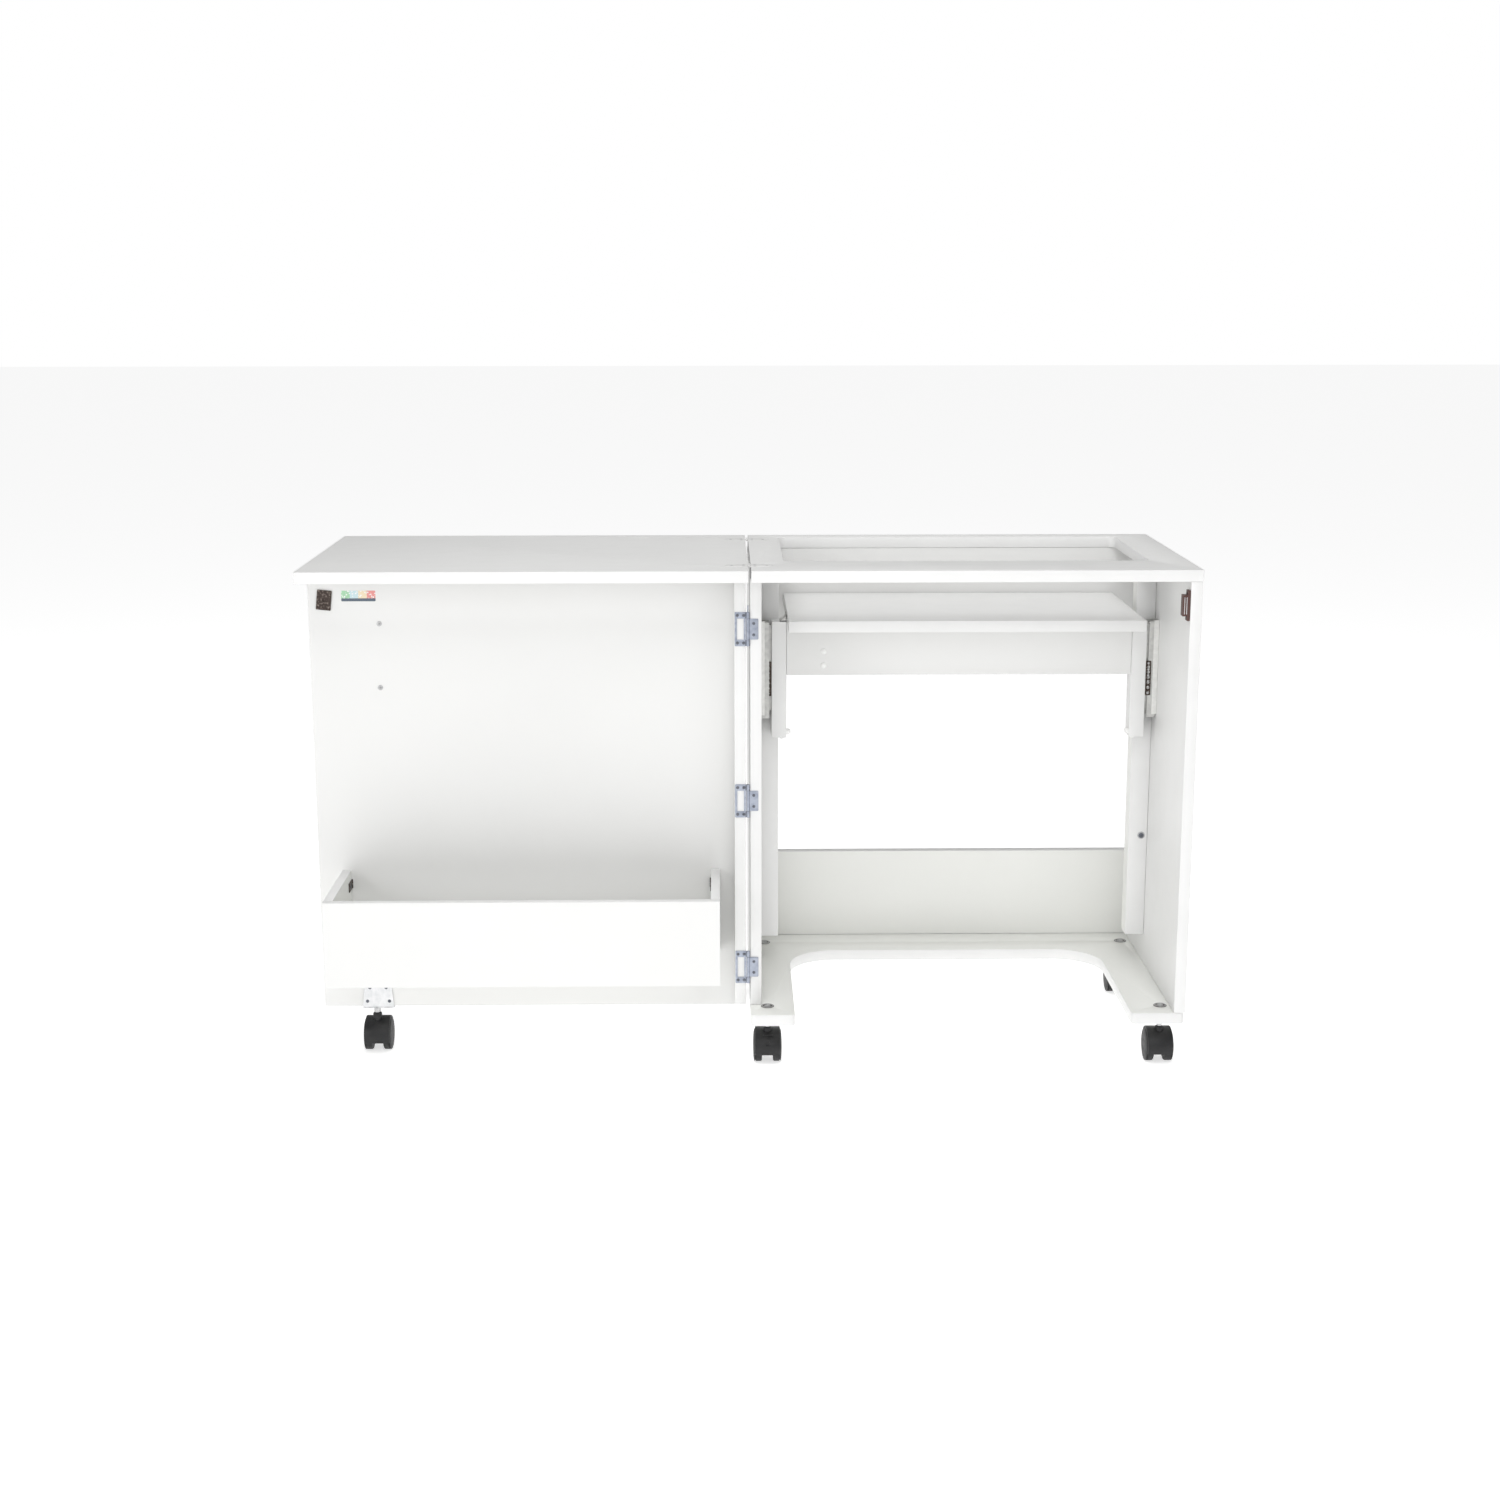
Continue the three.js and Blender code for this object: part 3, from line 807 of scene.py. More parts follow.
class ScrewTree(GeometryTree):
    """Pan-head screws with a cross recess, one on each point, looking along the point's own direction."""

    SPIN_SEED = 7

    def __init__(self) -> None:
        """Builds the tree."""
        super().__init__("screw heads", {"Radius": 3 * MM, "Height": 1.6 * MM, "Recess": 0.9 * MM})
        radius, height, recess = (self.given[label] for label in ("Radius", "Height", "Recess"))
        blank = self.node("GeometryNodeMeshCylinder", {"Vertices": 24, "Fill Segments": 3, "Radius": radius,
                                                       "Depth": height})
        at = self.node("GeometryNodeInputPosition").outputs[0]
        parts = self.node("ShaderNodeSeparateXYZ", {0: at}).outputs
        flat = self.node("ShaderNodeCombineXYZ", {0: parts[0], 1: parts[1]}).outputs[0]
        out = self.node("ShaderNodeVectorMath", {0: flat}, operation="LENGTH").outputs["Value"]
        share = self.math("POWER", self.math("DIVIDE", out, radius), 2.6)
        drop = self.math("MULTIPLY", self.math("MULTIPLY", share, height), -0.55)
        upper = self.math("GREATER_THAN", parts[2], 0.0)
        offset = self.node("ShaderNodeCombineXYZ", {2: self.math("MULTIPLY", drop, upper)}).outputs[0]
        domed = self.node("GeometryNodeSetPosition", {"Geometry": blank.outputs[0], "Offset": offset})
        long = self.math("MULTIPLY", radius, 1.25)
        cuts = []
        for size in ({0: long, 1: recess, 2: height}, {0: recess, 1: long, 2: height}):
            cube_size = self.node("ShaderNodeCombineXYZ", size).outputs[0]
            cube = self.node("GeometryNodeMeshCube", {"Size": cube_size}).outputs[0]
            lift = self.node("ShaderNodeCombineXYZ", {2: self.math("MULTIPLY", height, 0.45)}).outputs[0]
            cuts.append(self.node("GeometryNodeTransform", {"Geometry": cube, "Translation": lift}).outputs[0])
        head = self.node("GeometryNodeMeshBoolean", {0: domed.outputs[0]}, operation="DIFFERENCE")
        for cut in cuts:
            self.tree.links.new(cut, head.inputs[1])
        points = self.node("GeometryNodeMeshToPoints", {0: self.given["Geometry"]}).outputs[0]
        look = self.node("GeometryNodeInputNamedAttribute", {"Name": "facing"}, data_type="FLOAT_VECTOR").outputs[0]
        turn = self.node("FunctionNodeAlignRotationToVector", {"Vector": look}, axis="Z").outputs[0]
        inputs = {"Points": points, "Instance": head.outputs[0], "Rotation": turn}
        placed = self.node("GeometryNodeInstanceOnPoints", inputs).outputs[0]
        spin = self.node("FunctionNodeRandomValue", {"Seed": self.SPIN_SEED}, data_type="FLOAT")
        euler = self.node("ShaderNodeCombineXYZ", {2: self.math("MULTIPLY", spin.outputs[1], math.pi)}).outputs[0]
        rotation = self.node("FunctionNodeEulerToRotation", {0: euler}).outputs[0]
        spun = self.node("GeometryNodeRotateInstances", {"Instances": placed, "Rotation": rotation})
        self.close(spun.outputs[0])


class BallTree(GeometryTree):
    """Steel balls set out evenly along each edge of a mesh."""

    def __init__(self) -> None:
        """Builds the tree."""
        super().__init__("slide balls", {"Radius": 1.9 * MM, "Spacing": 6.5 * MM})
        ball = self.node("GeometryNodeMeshUVSphere", {"Segments": 14, "Rings": 9, "Radius": self.given["Radius"]})
        line = self.node("GeometryNodeMeshToCurve", {0: self.given["Geometry"]}).outputs[0]
        inputs = {"Curve": line, "Length": self.given["Spacing"]}
        points = self.node("GeometryNodeCurveToPoints", inputs, mode="LENGTH").outputs[0]
        placed = self.node("GeometryNodeInstanceOnPoints", {"Points": points, "Instance": ball.outputs[0]})
        self.close(placed.outputs[0])


@dataclass
class ScrewRow:
    """Screws of one size on one body."""

    name: str
    body: Body
    radius: float
    height: float
    finish: Finish
    spots: list[tuple[Point3, Point3]] = field(default_factory=list)

    def add(self, point: Point3, direction: Point3) -> None:
        """Adds a screw whose seat is at a point and whose head looks along a direction."""
        self.spots.append((point, direction))

    def build(self, tree: ScrewTree) -> None:
        """Makes the screws as one piece."""
        data = bpy.data.meshes.new(self.name)
        raised = [Vector(p) + Vector(d) * self.height / 2 for p, d in self.spots]
        data.from_pydata(metres(raised), [], [])
        look = data.attributes.new("facing", "FLOAT_VECTOR", "POINT")
        for place, (_, direction) in zip(look.data, self.spots):
            place.vector = direction
        sizes = {"Radius": self.radius * MM, "Height": self.height * MM, "Recess": self.radius * 0.3 * MM}
        mount(self.name, tree.made_on(self.name, data, self.finish, sizes), self.body)


class Screws:
    """All the screws of the cabinet, sorted into rows."""

    def __init__(self) -> None:
        """Opens the rows."""
        self.tree = ScrewTree()
        self.rows: dict[tuple[Body, float], ScrewRow] = {}

    def add(self, body: Body, radius: float, point: Point3, direction: Point3, finish: Finish,
            height: float | None = None) -> None:
        """Adds one screw.

        Args:
            body: the body that it rides on.
            radius: the head's radius in millimetres.
            point: its seat in millimetres.
            direction: where its head looks.
            finish: its finish.
            height: the head's height, or None for a usual one.
        """
        key = (body, radius)
        if key not in self.rows:
            name = f"screws_{body.value}_{int(radius * 10)}"
            self.rows[key] = ScrewRow(name, body, radius, height or radius * 0.5, finish)
        self.rows[key].add(point, direction)

    def build(self) -> None:
        """Makes every row."""
        for row in self.rows.values():
            row.build(self.tree)


# ---- Boards -------------------------------------------------------------------------------------------


@dataclass
class Boards:
    """The plain rectangular boards: faced on both sides, banded on their edges."""

    arris: float = 0.7
    band: float = 1.0
    names: dict[Body, tuple[str, ...]] = field(default_factory=lambda: {
        Body.CABINET: ("left_side_panel", "right_side_panel", "lower_back_board", "upper_back_board",
                       "lift_post_left", "lift_post_right"),
        Body.LIFT: ("lift_platform", "lift_board_left", "lift_board_right", "lift_cross_board"),
        Body.DOOR: ("door_panel", "door_return_board", "bin_front", "bin_side_left", "bin_side_right",
                    "bin_bottom"),
    })
    # These boards sit in recesses and get the paler melamine copy: painted light that lifts their shade.
    inner: tuple[str, ...] = ("lift_post_left", "lift_post_right", "bin_side_left", "bin_side_right", "bin_bottom",
                              "lower_back_board")

    def build(self) -> None:
        """Makes one piece for each board."""
        for body, nodes in self.names.items():
            for node in nodes:
                low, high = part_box(node)
                form = Form.board(low, high, self.arris, self.band)
                face = RECESS_MELAMINE_PAINTED_LIGHTER if node in self.inner else MELAMINE
                finish_node(node, form, (face, BAND), body)


@dataclass
class BasePlate:
    """The U-shaped base plate with its round inner corners, and the caps on the caster sockets."""

    foot_left: float = 67.0
    foot_right: float = 80.0
    bar_front: float = 328.0
    inner_r: float = 75.0
    corner_r: float = 8.0
    cap_r: float = 9.5
    hole_r: float = 4.6

    def build(self) -> None:
        """Makes the plate and its four caps."""
        low, high = box_mm("base_plate")
        left, right = low.x + self.foot_left, high.x - self.foot_right
        bar, r, c = low.y + self.bar_front, self.inner_r, self.corner_r
        outline = (arc(low.x + c, low.y + c, c, 180, 270, 5) + arc(left - c, low.y + c, c, -90, 0, 5)
                   + arc(left + r, bar - r, r, 180, 90, 16) + arc(right - r, bar - r, r, 90, 0, 16)
                   + arc(right + c, low.y + c, c, 180, 270, 5) + arc(high.x - c, low.y + c, c, -90, 0, 5)
                   + [(high.x, high.y), (low.x, high.y)])
        stems = [self.stem_place(end, side) for end in ("front", "rear") for side in Side]
        holes = [circle(x, y, self.hole_r, 20) for x, y in stems]
        form = Form.plate([outline, *holes], low.z, high.z, 0.8, 2, 1)
        # The base plate also takes the paler melamine copy: painted light against the shade under the cabinet.
        finish_node("base_plate", form, (RECESS_MELAMINE_PAINTED_LIGHTER, BAND), Body.CABINET)
        caps = Form()
        for x, y in stems:
            caps.absorb(self.cap(), upright_at((x, y, high.z)))
        mount("caster_socket_caps", caps.mesh_data("caster_socket_caps", (SATIN_NICKEL, BRONZE)), Body.CABINET)

    def stem_place(self, end: str, side: Side) -> Point2:
        """The middle of a caster's stem in plan."""
        low, high = box_mm(f"caster_{end}_{side.label}_stem")
        return (low.x + high.x) / 2, (low.y + high.y) / 2

    def cap(self) -> Form:
        """A socket's cap: a dark seat that shows as a thin dark rim round it, painted shade at the cap's edge, then
        a low pressed ring on it, and a drilled middle.
        """
        r = self.cap_r
        # The seat is a dark disc a little wider than the cap: painted shade for the shadow line at its edge.
        form = Form.turned([(0, 0.02), (r + 0.5, 0.02), (r + 0.5, 0.35), (0, 0.4)], 36, 1)
        ring = [(r - 2.6, 0.3), (r - 0.2, 0.3), (r, 0.9), (r - 0.7, 1.4), (r - 2.0, 1.4), (r - 2.6, 0.9)]
        form.absorb(Form.ring(ring, 36))
        middle = Form.turned([(0, 0.3), (5.0, 0.3), (5.0, 1.1), (4.4, 1.5), (2.2, 1.6), (1.8, 0.8), (0, 0.7)], 32)
        return form.absorb(middle)


# ---- Tops and flush hinges ----------------------------------------------------------------------------


@dataclass
class Tops:
    """The cabinet's top with its machine cut-out, the fold-over leaf, and the flush hinges let into both."""

    screws: Screws
    # The boards left around the cut-out: left, right, front and back.
    cutout_margins: tuple[float, float, float, float] = (49.8, 58.0, 112.0, 38.0)
    cutout_r: float = 12.0
    pocket_clear: float = 0.35
    corner_r: float = 1.2
    hinge_end_r: float = 13.0
    plate_depth: float = 2.6
    tab_depth: float = 1.1
    tab_reach: float = 4.0
    knuckle_r: float = 1.45
    pivot_rise: float = 0.3
    screw_places: tuple[Point2, ...] = ((8.5, -6.5), (8.5, 6.5), (26.0, 0.0))

    def build(self) -> None:
        """Makes both tops and their hinges."""
        low, high = box_mm("main_top")
        left, right, front, back = self.cutout_margins
        hole = rounded_rectangle(low.x + left, high.x - right, low.y + front, high.y - back, self.cutout_r, 8)
        self.top("main_top", Body.CABINET, [hole], Side.RIGHT)
        self.top("leaf_board", Body.LEAF, [], Side.LEFT)
        for place in ("front", "rear"):
            self.hinge_half(f"top_hinge_{place}", Body.CABINET, Side.RIGHT)
            self.hinge_half(f"leaf_hinge_{place}", Body.LEAF, Side.LEFT)

    def top(self, node: str, body: Body, holes: list[list[Point2]], side: Side) -> None:
        """Makes one top and sinks its hinge pockets.

        Args:
            node: its CAD node.
            body: the body that it rides on.
            holes: the outlines of its holes.
            side: which side of the seam it lies on.
        """
        low, high = box_mm(node)
        rim = rounded_rectangle(low.x, high.x, low.y, high.y, self.corner_r, 3)
        form = Form.plate([rim, *holes], low.z, high.z, 0.7, 2, 1)
        prefix = "top_hinge" if side is Side.RIGHT else "leaf_hinge"
        for place in ("front", "rear"):
            outline = self.hinge_outline(f"{prefix}_{place}", side, self.pocket_clear, 1.0)
            form.cut(Form.plate([outline], high.z - self.plate_depth - 0.3, high.z + 1, 0))
        finish_node(node, form, (MELAMINE, BAND), body)

    def hinge_outline(self, node: str, side: Side, grow: float, start: float) -> list[Point2]:
        """The plan of a hinge half, round at its far end.

        Args:
            node: the hinge half's CAD node.
            side: which side of the seam it lies on.
            grow: clearance added all round.
            start: distance of its straight end from the seam's middle.

        Returns:
            The outline.
        """
        low, high = box_mm(node)
        middle, r = (low.y + high.y) / 2, self.hinge_end_r + grow
        reach = max(abs(low.x), abs(high.x)) + grow
        first, last = (-90, 90) if side is Side.RIGHT else (90, 270)
        end = arc(side.value * (reach - r), middle, r, first, last, 14)
        near = side.value * start
        return [(near, end[0][1]), *end, (near, end[-1][1])]

    def hinge_half(self, node: str, body: Body, side: Side) -> None:
        """Makes one half of a flush hinge with its knuckles and screws."""
        low, high = box_mm(node)
        surface = box_mm("main_top")[1].z
        middle = (low.y + high.y) / 2
        outline = self.hinge_outline(node, side, 0, 2.2)
        form = Form.plate([outline], surface - self.plate_depth, surface + 0.05, 0.25)
        third = (high.y - low.y) * 0.2
        spans = [(low.y, middle - third), (middle + third, high.y)] if side is Side.RIGHT else \
            [(middle - third + 0.3, middle + third - 0.3)]
        for start, end in spans:
            knuckle = Form.turned(bar_profile(self.knuckle_r, 0, end - start, 0.25), 24)
            form.absorb(knuckle, facing((0, start, surface + self.pivot_rise), (0, 1, 0)))
            x0, x1 = sorted((0.0, side.value * self.tab_reach))
            tab = [(x0, start), (x1, start), (x1, end), (x0, end)]
            form.absorb(Form.plate([tab], surface - self.tab_depth, surface, 0))
        finish_node(node, form, (WHITE_LACQUER,), body)
        for out, across in self.screw_places:
            seat = (side.value * out, middle + across, surface + 0.03)
            self.screws.add(body, 2.2, seat, (0, 0, 1), SATIN_NICKEL, 0.2)


# ---- Door hinges --------------------------------------------------------------------------------------


@dataclass
class DoorHinge:
    """A butt hinge: a windowed leaf on the door's return board, a small leaf on the side panel, and its pin."""

    place: str
    screws: Screws
    knuckle_r: float = 2.55
    sheet: float = 1.1
    corner_r: float = 1.4
    pin_inset: float = 2.6
    pin_r: float = 1.5
    tail_r: float = 0.9
    tail_length: float = 9.5
    screw_height: float = 0.8
    # How far the small leaf's screws lie from the pin and from the leaf's middle.
    frame_screws: Point2 = (8.6, 8.6)
    door_screws_out: tuple[float, float] = (-15.6, -6.2)
    door_screws_up: float = 20.6

    def build(self) -> None:
        """Makes both leaves, the pin's ends and the screws."""
        low, high = box_mm(f"door_hinge_frame_{self.place}")
        pin = (low.x + self.pin_inset, low.y + self.pin_inset)
        self.frame_leaf(low, high, pin)
        self.door_leaf(low.z, high.z, pin)
        seat, z = pin[1] - 0.05, (low.z + high.z) / 2
        out, up = self.frame_screws
        for dz in (-up, up):
            self.screws.add(Body.CABINET, 2.3, (pin[0] + out, seat, z + dz), FRONT, SCREW_ZINC_PAINTED_DARKER, self.screw_height)
        for dz in (-self.door_screws_up, self.door_screws_up):
            for out in self.door_screws_out:
                self.screws.add(Body.DOOR, 2.4, (pin[0] + out, seat, z + dz), FRONT, SCREW_ZINC_PAINTED_DARKER, self.screw_height)

    def knuckle(self, start: float, end: float, pin: Point2) -> tuple[Form, Matrix]:
        """One knuckle about the pin between two heights, and its place."""
        return Form.turned(bar_profile(self.knuckle_r, 0, end - start, 0.35), 32), upright_at((*pin, start))

    def frame_leaf(self, low: Vector, high: Vector, pin: Point2) -> None:
        """Makes the small leaf with the middle knuckle."""
        outline = rounded_rectangle(pin[0], high.x, low.z, high.z, self.corner_r, 4)
        form = Form().absorb(Form.plate([outline], -self.sheet, 0, 0.22), standing(pin[1]))
        form.absorb(*self.knuckle(low.z, high.z, pin))
        finish_node(f"door_hinge_frame_{self.place}", form, (ZINC,), Body.CABINET)

    def door_leaf(self, z0: float, z1: float, pin: Point2) -> None:
        """Makes the windowed leaf with the end knuckles and the pin's ends.

        Args:
            z0: the bottom of the small leaf, which fills the gap between the end knuckles.
            z1: the top of the small leaf.
            pin: the pin's place in plan.
        """
        low, high = box_mm(f"door_hinge_leaf_{self.place}")
        edge = pin[0] - self.knuckle_r - 0.35
        outline = rounded_rectangle(low.x, edge, low.z, high.z, self.corner_r, 4)
        window = rounded_rectangle(low.x + 3.4, edge - 3.0, z0 - 0.4, z1 + 0.4, 0.8, 3)
        form = Form().absorb(Form.plate([outline, window], -self.sheet, 0, 0.22), standing(pin[1]))
        for start, end in ((low.z, z0 - 0.3), (z1 + 0.3, high.z)):
            form.absorb(*self.knuckle(start, end, pin))
            tab = rounded_rectangle(edge - 1.0, pin[0], start, end, 0.3, 1)
            form.absorb(Form.plate([tab], -self.sheet, 0, 0.15), standing(pin[1]))
        r = self.pin_r
        for z, way in ((high.z, 1), (low.z, -1)):
            head = Form.turned([(0, 0), (r, 0), (r, 0.2), (r * 0.6, 0.45), (0, 0.5)], 20)
            form.absorb(head, facing((*pin, z - way * 0.05), (0, 0, way)))
        if self.place == "top":
            tail = Form.turned(bar_profile(self.tail_r, 0, self.tail_length, 0.25), 16)
            form.absorb(tail, upright_at((*pin, high.z + 0.3)))
        finish_node(f"door_hinge_leaf_{self.place}", form, (ZINC,), Body.DOOR)


# ---- Door fittings ------------------------------------------------------------------------------------


@dataclass
class DoorFittings:
    """What is fixed to the door: strike plate, label, cover caps, bin brackets and the caster's bracket."""

    screws: Screws
    strike_tilt: float = 6.0
    label_size: Point2 = (51.0, 16.0)
    cover_cap_places: tuple[Point2, ...] = ((-554.0, 674.0), (-555.5, 576.7))
    face: float = field(init=False)

    def build(self) -> None:
        """Makes every fitting."""
        self.face = box_mm("door_panel")[0].y
        self.strike_plate()
        self.label()
        self.cover_caps()
        self.bin_brackets()
        self.caster_bracket()

    def strike_plate(self) -> None:
        """The bronzed plate that the catch holds, with a countersunk screw in its middle."""
        low, high = box_mm("strike_plate")
        x, z = (low.x + high.x) / 2, (low.z + high.z) / 2
        outline = rounded_rectangle(-11, 11, -15, 15, 1.2, 4)
        form = Form.plate([outline, circle(0, 0, 3.1, 24)], 0, 1.5, 0.35)
        form.absorb(Form.turned([(0, 0.05), (3.2, 0.05), (3.0, 0.5), (1.4, 0.4), (0, 0.2)], 24))
        tilt = Matrix.Rotation(math.radians(self.strike_tilt), 4, "Y")
        stand = upright_at((x, high.y, z)) @ tilt @ Matrix.Rotation(math.radians(90), 4, "X")
        finish_node("strike_plate", Form().absorb(form, stand), (BRONZE,), Body.DOOR)

    def label(self) -> None:
        """A small printed label beside the strike plate."""
        width, height = self.label_size
        low, high = box_mm("strike_plate")
        left, top = high.x + 13.5, (low.z + high.z) / 2 + 14.0
        finish = ColourStrip("printed colour label", (0.5, 0.5, 0.5), 0.4, left_mm=left, width_mm=width,
                             rule_mm=top - height + 4.5)
        outline = rounded_rectangle(left, left + width, top - height, top, 1.0, 3)
        form = Form().absorb(Form.plate([outline], 0.0, 0.25, 0.05, 1), standing(self.face))
        add_piece("door_label", form, finish, Body.DOOR)

    def cover_caps(self) -> None:
        """Two plated screw posts near the top of the door."""
        for x, z in self.cover_cap_places:
            self.screws.add(Body.DOOR, 4.0, (x, self.face, z), FRONT, SATIN_NICKEL, 1.6)

    def bin_brackets(self) -> None:
        """Small angle brackets that hold the bin's sides to the door."""
        form = Form()
        top = box_mm("bin_front")[1].z
        for side in Side:
            low, high = box_mm(f"bin_side_{side.label}")
            inner = high.x if side is Side.LEFT else low.x
            into = -side.value
            outline = [(0, 0), (into * 2.2, 0), (into * 2.2, -1.4), (into * 1.4, -2.2), (into * 1.4, -28), (0, -28)]
            if into < 0:
                outline.reverse()
            for z in (top - 21, low.z + 40):
                shape = [(inner + x, self.face + y - 0.05) for x, y in outline]
                form.absorb(Form.plate([shape], z - 7, z + 7, 0.3))
                for out in (9.0, 21.0):
                    seat = (inner + into * 1.3, self.face - out, z)
                    self.screws.add(Body.DOOR, 2.1, seat, (into, 0, 0), SCREW_ZINC_PAINTED_DARKER)
        add_piece("bin_brackets", form, BRONZE, Body.DOOR)

    def caster_bracket(self) -> None:
        """The plated bracket below the door: a tapered plate, a bent flange and four screws."""
        low, high = box_mm("caster_bracket")
        middle = (low.x + high.x) / 2
        bottom, top, plate = 24.5, 19.5, 2.0
        outline = [(middle - bottom, low.z), (middle + bottom, low.z), (middle + top, high.z - 2),
                   (middle + top - 2, high.z), (middle - top + 2, high.z), (middle - top, high.z - 2)]
        form = Form().absorb(Form.plate([outline], 0, plate, 0.35), standing(self.face - 0.3))
        flange = rounded_rectangle(middle - bottom, middle + bottom, low.y, high.y, 2.0, 4)
        form.absorb(Form.plate([flange], low.z, low.z + plate, 0.35))
        finish_node("caster_bracket", form, (PALE_ZINC,), Body.DOOR)
        for z, out in ((low.z + 11, 17.0), (low.z + 33, 12.5)):
            for way in (-1, 1):
                self.screws.add(Body.DOOR, 2.6, (middle + way * out, low.y, z), FRONT, SCREW_ZINC_PAINTED_DARKER, 0.9)


# ---- Magnetic catch -----------------------------------------------------------------------------------


@dataclass
class MagneticCatch:
    """The double magnetic catch inside the right panel: moulded body, mounting ears and steel pole plates."""

    screws: Screws
    ear: float = 4.0
    half_height: float = 15.5
    pole_half: float = 12.5
    pole_thickness: float = 0.9
    pole_places: tuple[float, float] = (2.2, 5.4)
    screw_inset: float = 4.5

    def build(self) -> None:
        """Makes the catch."""
        low, high = box_mm("magnetic_catch")
        middle = (low.z + high.z) / 2
        form = Form.block((high.x - self.ear, low.y, low.z), high, 0.8, 0.5)
        form.absorb(Form.block((low.x, low.y, middle - self.half_height),
                               (high.x - 3.5, high.y, middle + self.half_height), 1.0, 0.5))
        form.paint(0)
        poles = Form()
        for x in self.pole_places:
            poles.absorb(Form.block((low.x + x, low.y - 0.6, middle - self.pole_half),
                                    (low.x + x + self.pole_thickness, low.y + 3, middle + self.pole_half), 0.2, 0.3))
        form.absorb(poles.paint(1))
        finish_node("magnetic_catch", form, (BROWN_PLASTIC, PALE_ZINC), Body.CABINET)
        for z in (low.z + self.screw_inset, high.z - self.screw_inset):
            seat = (high.x - self.ear, (low.y + high.y) / 2, z)
            self.screws.add(Body.CABINET, 2.0, seat, (-1, 0, 0), BRONZE)


# ---- Lift ---------------------------------------------------------------------------------------------


@dataclass
class LiftFittings:
    """Steel slides with ball cages, end stops, platform brackets, the cross board's caps and the post's screw."""

    screws: Screws
    frame_nodes: dict[str, bpy.types.Object]
    cage: tuple[float, float] = (538.0, 593.0)
    ball_pitch: float = 8.2
    # For each side, how far behind the middle member's front its balls run, and their radius.
    ball_runs: dict[Side, tuple[float, float]] = field(default_factory=lambda: {Side.LEFT: (2.55, 1.2),
                                                                               Side.RIGHT: (-0.5, 2.2)})
    cap_x: float = 118.0
    cap_heights: tuple[float, float] = (609.8, 587.6)
    post_screw_inset: float = 9.6
    post_screw_z: float = 302.5

    def build(self) -> None:
        """Makes both sides and the shared fittings."""
        balls = BallTree()
        for side in Side:
            # The outer members take the paler zinc copy: painted light against their shade.
            for member, finish in (("outer", RAIL_OUTER_PAINTED_LIGHTER), ("middle", RAIL_INNER), ("inner", RAIL_INNER)):
                dress(self.frame_nodes[f"slide_{member}_{side.label}"], finish)
            self.ball_cage(side, balls)
            self.end_stops(side)
            self.bracket(side)
        self.post_screw()
        low, _ = box_mm("lift_cross_board")
        for z in self.cap_heights:
            cap = Form.turned([(0, 0), (4.6, 0), (4.6, 0.5), (3.6, 1.3), (1.8, 1.7), (0, 1.8)], 28)
            form = Form().absorb(cap, facing((self.cap_x, low.y + 0.02, z), FRONT))
            add_piece(f"cross_board_cap_{int(z)}", form, WHITE_NYLON, Body.LIFT)

    def ball_cage(self, side: Side, balls: BallTree) -> None:
        """The balls and their pressed cage, which ride on the middle member."""
        body = f"slide_middle_{side.label}"
        low, high = box_mm(body)
        x = high.x - 0.5 if side is Side.LEFT else low.x + 0.5
        z0, z1 = self.cage
        back, ball_r = self.ball_runs[side]
        y = low.y + back
        data = bpy.data.meshes.new("track")
        data.from_pydata(metres([(x, y, z0 + 4), (x, y, z1 - 4)]), [(0, 1)], [])
        name = f"slide_balls_{side.label}"
        sizes = {"Radius": ball_r * MM, "Spacing": self.ball_pitch * MM}
        mount(name, balls.made_on(name, data, SATIN_NICKEL, sizes), body)
        count = int((z1 - z0 - 6) / self.ball_pitch) + 1
        holes = [circle(0, z0 + 4 + self.ball_pitch * i, ball_r + 0.3, 12) for i in range(count)]
        strip = Form.plate([rounded_rectangle(-4.2, 4.2, z0, z1, 1.5, 4), *holes], 0, 0.7, 0.12, 1)
        add_piece(f"slide_cage_{side.label}", Form().absorb(strip, standing(y + 0.3, x)), BRONZE, body)

    def end_stops(self, side: Side) -> None:
        """A domed nylon stop on the inner face of the lift board's foot, and a small foot pad."""
        low, high = box_mm(f"lift_board_{side.label}")
        inner = high.x if side is Side.LEFT else low.x
        into = -side.value
        stop = Form.turned([(0, 0), (4.8, 0), (4.8, 3.0), (4.2, 5.2), (2.6, 6.6), (0, 7.0)], 32)
        form = Form().absorb(stop, facing((inner, low.y + 6, low.z + 9), (into, 0, 0)))
        pad = Form.turned([(0, 0), (3.4, 0), (3.2, 1.4), (2.0, 2.4), (0, 2.6)], 24)
        form.absorb(pad, facing((inner - into * 7, low.y + 7, low.z), (0, 0, -1)))
        add_piece(f"lift_stops_{side.label}", form, WHITE_NYLON, Body.LIFT)

    def bracket(self, side: Side) -> None:
        """Gusseted steel angles that tie the platform's ends to the lift boards' tops."""
        low, high = box_mm(f"lift_board_{side.label}")
        inner = high.x if side is Side.LEFT else low.x
        gusset = [(0.0, 0.0), (10.5, 0.0), (10.5, 1.8), (7.0, 3.0), (3.6, 6.0), (1.8, 11.5), (0.0, 11.5)]
        foot = [(0.0, 0.0), (10.5, 0.0), (10.5, 1.8), (1.8, 1.8), (1.8, 11.5), (0.0, 11.5)]
        form = Form()
        for y in (low.y + 1, high.y - 15):
            for outline, depth in ((gusset, 1.8), (foot, 14.0)):
                shape = [(inner + side.value * out, high.z + 0.1 + up) for out, up in outline]
                if side is Side.RIGHT:
                    shape.reverse()
                form.absorb(Form.plate([shape], -depth, 0, 0.2), standing(y))
        add_piece(f"platform_brackets_{side.label}", form, RAIL_INNER, Body.LIFT)

